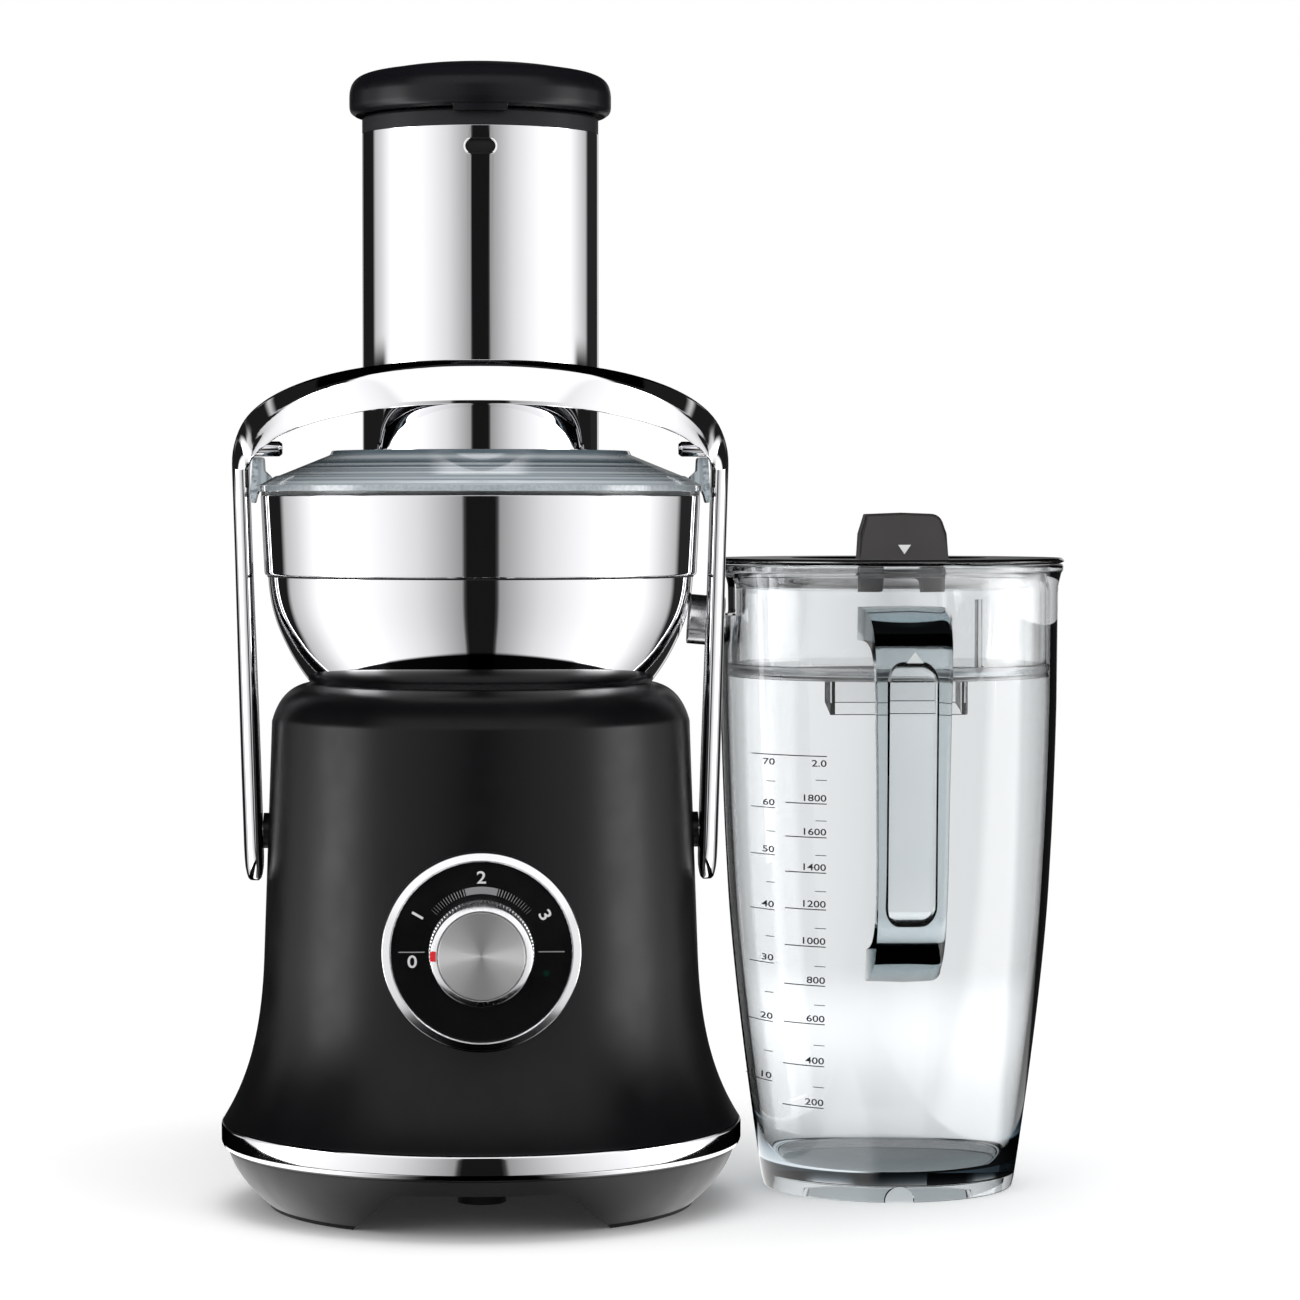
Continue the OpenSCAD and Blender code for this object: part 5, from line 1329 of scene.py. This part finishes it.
class JUICER_OT_scale(Step):
    """Print the graduations on the jug and the small marks on its handle"""
    bl_idname = "juicer.scale"
    bl_label = "Jug Scale"

    def wrapped(self, form, depth):
        """Lays a flat print of (x, height, depth share) on the jug's wall."""
        for v in form.verts:
            r = jug_radius(v.co.y) + 0.02 + depth * v.co.z
            v.co = Vector((v.co.x, -math.sqrt(max(r * r - v.co.x ** 2, 0)), v.co.y))
        return form

    def line(self, x0, x1, z, thick):
        steps = max(1, int((x1 - x0) / 1.5))
        xs = [x0 + (x1 - x0) * i / steps for i in range(steps + 1)]
        return loft([[(x, z, 0), (x, z + thick, 0), (x, z + thick, 1), (x, z, 1)] for x in xs])

    def number(self, text, height, edge, rise):
        """Figures that end just short of an edge."""
        figure = figure_form(text, height, FIGURE_WIDTH)
        right = max(v.co.x for v in figure.verts)
        return turned(figure, Matrix.Translation((edge - right, rise, 0)))

    def build(self, tones, sizes):
        depth = sizes.print_depth / MM
        height = sizes.figure / MM
        forms = []
        for i, z in enumerate(MILLILITRE_LINES):
            last = i == len(MILLILITRE_LINES) - 1
            forms.append(self.line(OUNCE_START if last else MILLILITRE_START, MILLILITRE_END, z,
                                   MILLILITRE_THICK))
            if i:
                before = MILLILITRE_LINES[i - 1]
                forms.append(self.line(-35.4, MILLILITRE_END, (z + before) / 2,
                                       HALF_LINE_THICK))
            text = "2.0" if last else str(200 * (i + 1))
            rise = z - height - 1.3 if last else z + 1.2
            forms.append(self.number(text, height, -31.2, rise))
        for i, z in enumerate(OUNCE_LINES):
            last = i == len(OUNCE_LINES) - 1
            if not last:
                forms.append(self.line(OUNCE_START, OUNCE_END, z, OUNCE_THICK))
            if i:
                before = OUNCE_LINES[i - 1]
                forms.append(self.line(-54.2, OUNCE_END, (z + before) / 2, HALF_LINE_THICK))
            rise = z - height - 1.3 if last else z + 1.2
            forms.append(self.number(str(10 * (i + 1)), height * 0.96, -51.2, rise))
        printed = at_jug(self.wrapped(joined(*forms), depth))
        piece("jug_graduations", printed, "Jug print", "jug", "dial_black")
        y, z = grip_path()[11]
        mark = loft([[(-3.4, y - 5.15 - t, z - 4.6), (3.4, y - 5.15 - t, z - 4.6),
                      (0, y - 5.15 - t, z - 0.2)] for t in (0.0, 0.12)])
        piece("jug_handle_mark", at_jug(mark), "White mark", "jug", "dial_black")


class JUICER_OT_separator(Step):
    """Build the froth separator, its seal and its outlet box"""
    bl_idname = "juicer.separator"
    bl_label = "Froth Separator"

    def build(self, tones, sizes):
        r = JUG_R - 3 - 1.8
        z0 = JUG_TOP - 50
        top = JUG_TOP
        cup = soften([(0, z0 + 3), (r - 3, z0 + 3), (r, z0 + 6, 2.5), (r, top - 4),
                      (r + 0.6, top - 4), (r + 0.6, top - 1), (r - 3, top - 1),
                      (r - 1.8, top - 4), (r - 1.8, z0 + 7, 1.5), (r - 4, z0 + 5, 1.5),
                      (0, z0 + 5)], 0.4)
        cup = as_object("froth_separator_cup", revolve(cup, sizes.turns))
        combine(cup, prism([(-26, -44), (26, -44), (26, -18), (-26, -18)], z0, z0 + 8))
        box = [(-28, -46, 2), (28, -46, 2), (28, -16, 2), (-28, -16, 2)]
        hole = [(-26, -44, 1.2), (26, -44, 1.2), (26, -18, 1.2), (-26, -18, 1.2)]
        outlet = as_object("outlet", prism(soften(box, 2, 4), z0 - 13, z0 + 3.2))
        combine(outlet, prism(soften(hole, 1.2, 4), z0 - 16, z0 + 9))
        slope = ((-60, z0 - 20), (0, z0 - 20), (0, z0 - 5), (-60, z0 - 13))
        combine(outlet, slab(slope, X, (-40, 40)))
        form = bmesh.new()
        form.from_mesh(outlet.data)
        bmesh.ops.scale(form, vec=(1 / MM, 1 / MM, 1 / MM), verts=form.verts)
        bpy.data.objects.remove(outlet)
        combine(cup, form, "UNION")
        rib = soften([(30, -56), (32.5, -56), (32.5, -47), (30, -47)], 0.6)
        combine(cup, prism(rib, z0 + 4.5, LID_LOW - 14), "UNION")
        hole = inlet_outline(22, 12.0, top - 5)
        combine(cup, slab(hole, X, INLET_X))
        moved_to_jug(cup)
        finished(cup, "Separator clear", "separator", "jug_clear", "froth_separator")
        seal = soften([(r + 0.05, z0 + 3.2), (r + 1.2, z0 + 3.4), (r + 0.6, z0 + 5.0),
                       (r + 1.2, z0 + 6.6), (r + 1.2, z0 + 8.6), (r + 0.05, z0 + 8.8)], 0.3)
        piece("separator_seal_ring", at_jug(revolve(seal, sizes.turns)), "Seal clear",
              "separator", "seal_clear", "separator_seal")


class JUICER_OT_lid(Step):
    """Build the jug's lid and its grip"""
    bl_idname = "juicer.lid"
    bl_label = "Jug Lid"

    def build(self, tones, sizes):
        z, top, r = LID_LOW, LID_TOP, LID_R
        disc = soften([(0, z), (r - 1.3, z), (r, z + 0.8, 0.5), (r, z + 1.4, 0.5),
                       (r - 1.1, top, 0.7), (42, top, 0.8), (40.5, top - 1.0, 0.8),
                       (0, top - 1.0)], 0.4)
        piece("jug_lid_disc", at_jug(revolve(disc, sizes.turns)), "Separator clear", "lid",
              "jug_clear", "jug_lid")
        front = low("lid_grip", Y) - JUG_Y
        back = high("lid_grip", Y) - JUG_Y
        rise = GRIP_TOP - top
        half = half_size("lid_grip", X)
        arch = soften([(half, 0, 0), (half - 0.5, rise * 0.55, 6), (half - 3, rise * 0.97, 7),
                       (0, rise, 30), (3 - half, rise * 0.97, 7), (0.5 - half, rise * 0.55, 6),
                       (-half, 0, 0)], 6, 6)
        rings = []
        for share, pull in ((0.0, 0.94), (0.04, 0.975), (0.12, 1.0), (0.9, 1.0), (1.0, 0.97)):
            y = front + (back - front) * share
            rings.append([(x * (1 if z < 1 else pull), y + (z / rise) ** 2 * 5.0 * (1 - share),
                           top + z * pull) for x, z in arch])
        grip = as_object("lid_grip_arch", loft(rings))
        inner = soften([(half - 3.4, -1, 0), (half - 4.2, rise * 0.5, 5),
                        (half - 7, rise * 0.8, 6), (7 - half, rise * 0.8, 6),
                        (4.2 - half, rise * 0.5, 5), (3.4 - half, -1, 0)], 5, 5)
        combine(grip, slab([(x, top + z) for x, z in inner], Y, (front + 5.5, back + 4)))
        foot = soften([(half - 1, back - 1, 3), (half - 1, front + 7, 3), (1 - half, front + 7, 3),
                       (1 - half, back - 1, 3)], 3, 5)
        combine(grip, prism(foot, z - 10, top - 0.5), "UNION")
        notch = soften([(-8.5, z - 14, 0), (8.5, z - 14, 0), (7.5, z - 2, 3), (-7.5, z - 2, 3)], 3)
        combine(grip, slab(notch, Y, (front, back + 4)))
        bevelled(grip, 0.5, 40)
        moved_to_jug(grip)
        finished(grip, "Lid grip", "lid", "grip_grey", "lid_grip")
        lean = front + (4.0 / rise) ** 2 * 5.0
        mark = loft([[(-2.6, lean + 0.05 - t, top + 6.0), (2.6, lean + 0.05 - t, top + 6.0),
                      (0, lean - 0.15 - t, top + 2.2)] for t in (0.0, 0.25)])
        piece("lid_grip_mark", at_jug(mark), "White mark", "lid", "dial_black")


def bin_outline(inset, half_x, front, back, hollow_r, steps=120):
    """The container's outline from above, its front hollowed to fit round the base."""
    corners = soften([(half_x - inset, front + inset, 10), (half_x - inset, back - inset, 26),
                      (inset - half_x, back - inset, 26), (inset - half_x, front + inset, 10)],
                     10, 10)
    centre = Vector((0, (front + back) / 2 + 20))
    points = []
    count = len(corners)
    for i in range(steps):
        angle = 2 * math.pi * (i + 0.5) / steps
        way = Vector((math.cos(angle), math.sin(angle)))
        best = None
        for j in range(count):
            a, b = Vector(corners[j]), Vector(corners[(j + 1) % count])
            edge = b - a
            across = way.x * edge.y - way.y * edge.x
            if abs(across) < 1e-9:
                continue
            gap = a - centre
            far = (gap.x * edge.y - gap.y * edge.x) / across
            along = (gap.x * way.y - gap.y * way.x) / across
            if far > 0 and -1e-6 <= along <= 1 + 1e-6 and (best is None or far < best):
                best = far
        point = centre + way * best
        if point.length < hollow_r + inset:
            lead = centre.dot(way)
            inside = lead * lead - centre.length_squared + (hollow_r + inset) ** 2
            if inside >= 0:
                point = centre + way * (-lead - math.sqrt(inside))
        points.append(tuple(point))
    return points


class JUICER_OT_container(Step):
    """Build the pulp container that stands behind the base"""
    bl_idname = "juicer.container"
    bl_label = "Pulp Container"

    def build(self, tones, sizes):
        hollow = FLARE_R + 2.4
        front = low("pulp_container", Y) + 2.0
        wall = 2.2

        def ring(z, inset, grow=0.0):
            taper = 2.8 * (1 - z / BIN_TOP)
            return [(x, y, z) for x, y in bin_outline(inset, BIN_HALF - taper + grow,
                                                      front - grow, BIN_BACK - taper + grow,
                                                      hollow - grow)]
        rings = [ring(0, 8), ring(0, 3.2), ring(0.8, 1.2), ring(3, 0), ring(BIN_TOP * 0.33, 0),
                 ring(BIN_TOP * 0.66, 0), ring(BIN_TOP - 4.6, 0), ring(BIN_TOP - 4.0, 0, 0.8),
                 ring(BIN_TOP - 3.4, 0, 1.8), ring(BIN_TOP - 0.7, 0, 2.1), ring(BIN_TOP, 0, 1.5),
                 ring(BIN_TOP, wall - 0.5), ring(BIN_TOP - 0.8, wall),
                 ring(BIN_TOP * 0.66, wall), ring(BIN_TOP * 0.33, wall), ring(6, wall),
                 ring(3.2, wall + 1.4), ring(wall, wall + 4), ring(wall, wall + 8)]
        piece("pulp_container_bin", loft(rings), "Container smoke", "container", "bin_smoke",
              "pulp_container")


# Brightness that polished faces find all round, by the angle from the front in degrees
SURROUND = ((-180, 0.02), (-172, 0.02), (-170, 0.40), (-165, 0.40), (-163, 0.012),
            (-129, 0.012), (-124, 0.55), (-112, 0.75), (-98, 1.1), (-92, 5.0), (-72, 5.0),
            (-64, 1.15), (-48, 0.98), (-32, 0.78), (-16, 0.46), (-9.2, 0.32), (-8.3, 0.009),
            (8.3, 0.009), (9.2, 0.32), (16, 0.46), (32, 0.78), (48, 0.98), (64, 1.15),
            (72, 5.0), (92, 5.0), (98, 1.1), (112, 0.75), (124, 0.52), (129, 0.02),
            (161, 0.02), (163, 0.75), (168, 0.75), (170, 0.05), (180, 0.3))
# The same higher up, where it is dark at the sides and behind
SURROUND_HIGH = ((-180, 0.012), (-68, 0.012), (-60, 1.1), (60, 1.1), (68, 0.012), (180, 0.012))
# Brightness that rays bent through clear plastic find, by the same angle
THROUGH = ((-180, 1.0), (-171, 0.94), (-160, 0.7), (-145, 0.42), (-128, 0.26), (-95, 0.08),
           (-40, 0.18), (0, 0.4), (40, 0.18), (95, 0.08), (128, 0.26), (145, 0.5), (158, 0.82),
           (170, 0.97), (180, 1.0))
# Heights on the sky, as shares, between which one zone gives way to the next
SKY_HIGH, SKY_ROOF, SKY_STEEP = (0.2, 0.26), (0.54, 0.58), (0.25, 0.5)
# Distances on the floor from the machine's middle, in metres, between which it changes: its glow
# held low under the base as a painted shadow, the open floor, and the floor seen through clear
# plastic, kept darker near the machine as painted shade
UNDER_BASE_SHADOW, OPEN_FLOOR, BENT_FLOOR_SHADE = (0.085, 0.125), (0.45, 0.9), (0.3, 0.8)
# The same for mirrors: painted light beside the base but not before it, and the painted shade of a
# dark oval round it
BESIDE_BASE_LIGHT, BEFORE_BASE, DARK_OVAL_SHADE = (0.15, 0.165), (0.03, 0.1), (0.292, 0.302)
OVAL_MIDDLE_Y, OVAL_SQUASH = 0.15, 0.766
FLOOR_PAINT = 0.86
# The black cards, in millimetres, and the shares of their half size where they fade out
CARD_X, CARD_Y, CARD_Z = 400, (40, 390), (280, 372)
CARD_FADE = (0.3, 0.5)
SOFTBOXES = (("Left softbox", (-1.3, -1.5, 1.1), 1.3, 13.0),
             ("Right softbox", (1.5, -1.3, 1.0), 1.2, 10.0),
             ("Top softbox", (0.1, 0.2, 2.1), 1.6, 18.0))
LAMP_AIM = Vector((0.05, 0, 0.2))
SENSOR, FRAME_PX, LENS_PX = 36.0, 1300, 4150
CAMERA_AT = (0.0, -1.7036, 0.2861)
AIM_DOWN_PX, AIM_RIGHT_PX = 145, 169


def sheet(name, corners, material):
    """A flat piece of the stage."""
    form = bmesh.new()
    form.faces.new([form.verts.new(corner) for corner in corners])
    obj = as_object(name, form)
    obj.data.materials.append(material)
    return obj


class JUICER_OT_stage(Step):
    """Set the floor, the lights, the sky and the camera"""
    bl_idname = "juicer.stage"
    bl_label = "Stage"

    def build(self, tones, sizes):
        scene = bpy.context.scene
        scene.view_settings.view_transform = "Standard"
        self.sky(scene)
        self.floor()
        self.cards()
        self.lamps()
        self.camera(scene)

    def sky(self, scene):
        """A white sky, with a studio's light and dark all round for mirrors and plastic."""
        scene.world = bpy.data.worlds.new("Studio")
        wire = Wiring(scene.world)
        x, y, z = wire.parted(wire.place("Generated"))
        roof = wire.span(z + y * 0.2, *SKY_ROOF, 1.0, 0.02)
        above = wire.span(z + abs(x) * 0.1, *SKY_HIGH, 0.0, 1.0)
        sides = (wire.around(x, y, SURROUND_HIGH) * above
                 + wire.around(x, y, SURROUND) * (1.0 - above))
        steep = wire.span(abs(z), *SKY_STEEP, 0.0, 1.0)
        bent = wire.around(x, y, THROUGH) * (1.0 - steep) + steep * 0.8
        back = wire.node("Background", (1, 1, 1, 1), wire.blended(1.0, sides * roof, bent, 0.55))
        wire.node("OutputWorld", back.outputs[0])

    def floor(self):
        """A white floor that keeps the shadow, with a painted shadow under the base, painted light
        beside the base and a painted dark oval round the machine for mirrors, and painted shade
        near the machine for rays through clear plastic.
        """
        material = bpy.data.materials.new("Floor")
        wire = Wiring(material)
        x, y, _ = wire.parted(wire.place("Object"))
        far = wire.reach(x, y)
        # Painted reflections for mirrors: the floor is near black in an oval round the machine,
        # with painted light beside the base
        front = wire.math("MINIMUM", y - OVAL_MIDDLE_Y, 0.0) * OVAL_SQUASH
        oval_shade = wire.span(wire.reach(x, front), *DARK_OVAL_SHADE, 0.002, 1.0)
        beside = (wire.span(far, *BESIDE_BASE_LIGHT, 1.0, 0.0)
                  * wire.span(abs(x), *BEFORE_BASE, 0.0, 1.4))
        mirrored = beside + wire.around(x, y, SURROUND) * oval_shade
        # Painted shadow: the glow that camera rays see is held low under the base
        seen = (wire.span(far, *UNDER_BASE_SHADOW, 0.02, 0.26)
                + wire.span(far, *OPEN_FLOOR, 0.0, 0.74))
        # Painted shade for rays through clear plastic: the floor glows less near the machine
        level = wire.blended(seen, mirrored, wire.span(far, *BENT_FLOOR_SHADE, 0.22, 1.0), 0.0)
        paint = ((1.0 - wire.span(far, *OPEN_FLOOR, 0.0, 1.0))
                 * (1.0 - wire.mirror_ray())) * FLOOR_PAINT
        grey = wire.node("CombineColor", paint, paint, paint)
        both = wire.node("AddShader", wire.node("BsdfDiffuse", grey.outputs[0]).outputs[0],
                         wire.node("Emission", Strength=level).outputs[0])
        wire.node("OutputMaterial", both.outputs[0])
        half = 9000
        sheet("floor", ((-half, -half, 0), (half, -half, 0), (half, half, 0),
                                 (-half, half, 0)), material)

    def cards(self):
        """Two black cards beside the machine that only the polished arm's ends look at."""
        black = bpy.data.materials.new("Black card")
        wire = Wiring(black)
        _, y, z = wire.parted(wire.place("Generated"))
        share = (wire.span(abs(y - 0.5), *CARD_FADE, 1.0, 0.0)
                 * wire.span(abs(z - 0.5), *CARD_FADE, 1.0, 0.0))
        both = wire.node("MixShader", share, wire.node("BsdfTransparent").outputs[0],
                         wire.node("Emission", Strength=0.012).outputs[0])
        wire.node("OutputMaterial", both.outputs[0])
        (y0, y1), (z0, z1) = CARD_Y, CARD_Z
        for side, name in ((-1, "left_card"), (1, "right_card")):
            card = sheet(name, [(side * CARD_X, y, z)
                                for y, z in ((y0, z0), (y1, z0), (y1, z1), (y0, z1))], black)
            for kind in ("camera", "diffuse", "transmission", "shadow", "volume_scatter"):
                setattr(card, "visible_" + kind, False)

    def lamps(self):
        for name, place, size, power in SOFTBOXES:
            light = bpy.data.lights.new(name, "AREA")
            light.shape = "SQUARE"
            light.size = size
            light.energy = power
            light.specular_factor = 0.0
            lamp = bpy.data.objects.new(name, light)
            lamp.location = place
            lamp.rotation_euler = (LAMP_AIM - Vector(place)).to_track_quat("-Z", "Y").to_euler()
            lamp.visible_glossy = False
            lamp.visible_transmission = False
            bpy.context.scene.collection.objects.link(lamp)

    def camera(self, scene):
        data = bpy.data.cameras.new("camera")
        data.sensor_width = SENSOR
        data.lens = LENS_PX / FRAME_PX * SENSOR
        data.clip_start = 0.05
        data.clip_end = 50
        camera = bpy.data.objects.new("camera", data)
        camera.location = CAMERA_AT
        camera.rotation_euler = (math.pi / 2 - math.atan(AIM_DOWN_PX / LENS_PX), 0,
                                 -math.atan(AIM_RIGHT_PX / LENS_PX))
        scene.collection.objects.link(camera)
        scene.camera = camera


STEPS = (JUICER_OT_finishes, JUICER_OT_frame_nodes, JUICER_OT_housing, JUICER_OT_base,
         JUICER_OT_dial, JUICER_OT_bowl, JUICER_OT_cover, JUICER_OT_chute, JUICER_OT_pusher,
         JUICER_OT_arm, JUICER_OT_jug, JUICER_OT_scale, JUICER_OT_separator, JUICER_OT_lid,
         JUICER_OT_container, JUICER_OT_stage)


class JUICER_PT_pieces(bpy.types.Panel):
    """The steps, colours and sizes in the sidebar"""
    bl_label = "Juicer"
    bl_idname = "JUICER_PT_pieces"
    bl_space_type = "VIEW_3D"
    bl_region_type = "UI"
    bl_category = "Juicer"

    def draw(self, context):
        layout = self.layout
        for step in STEPS:
            layout.operator(step.bl_idname)
        for group in (context.scene.juicer_colours, context.scene.juicer_sizes):
            box = layout.box()
            for key in group.bl_rna.properties.keys():
                if key not in ("rna_type", "name"):
                    box.prop(group, key)


def register():
    for item in (JuicerColours, JuicerSizes, *STEPS, JUICER_PT_pieces):
        bpy.utils.register_class(item)
    bpy.types.Scene.juicer_colours = PointerProperty(type=JuicerColours)
    bpy.types.Scene.juicer_sizes = PointerProperty(type=JuicerSizes)


def unregister():
    del bpy.types.Scene.juicer_sizes
    del bpy.types.Scene.juicer_colours
    for item in reversed((JuicerColours, JuicerSizes, *STEPS, JUICER_PT_pieces)):
        bpy.utils.unregister_class(item)


def main():
    register()
    for step in STEPS:
        group, name = step.bl_idname.split(".")
        getattr(getattr(bpy.ops, group), name)()


if __name__ == "__main__":
    main()
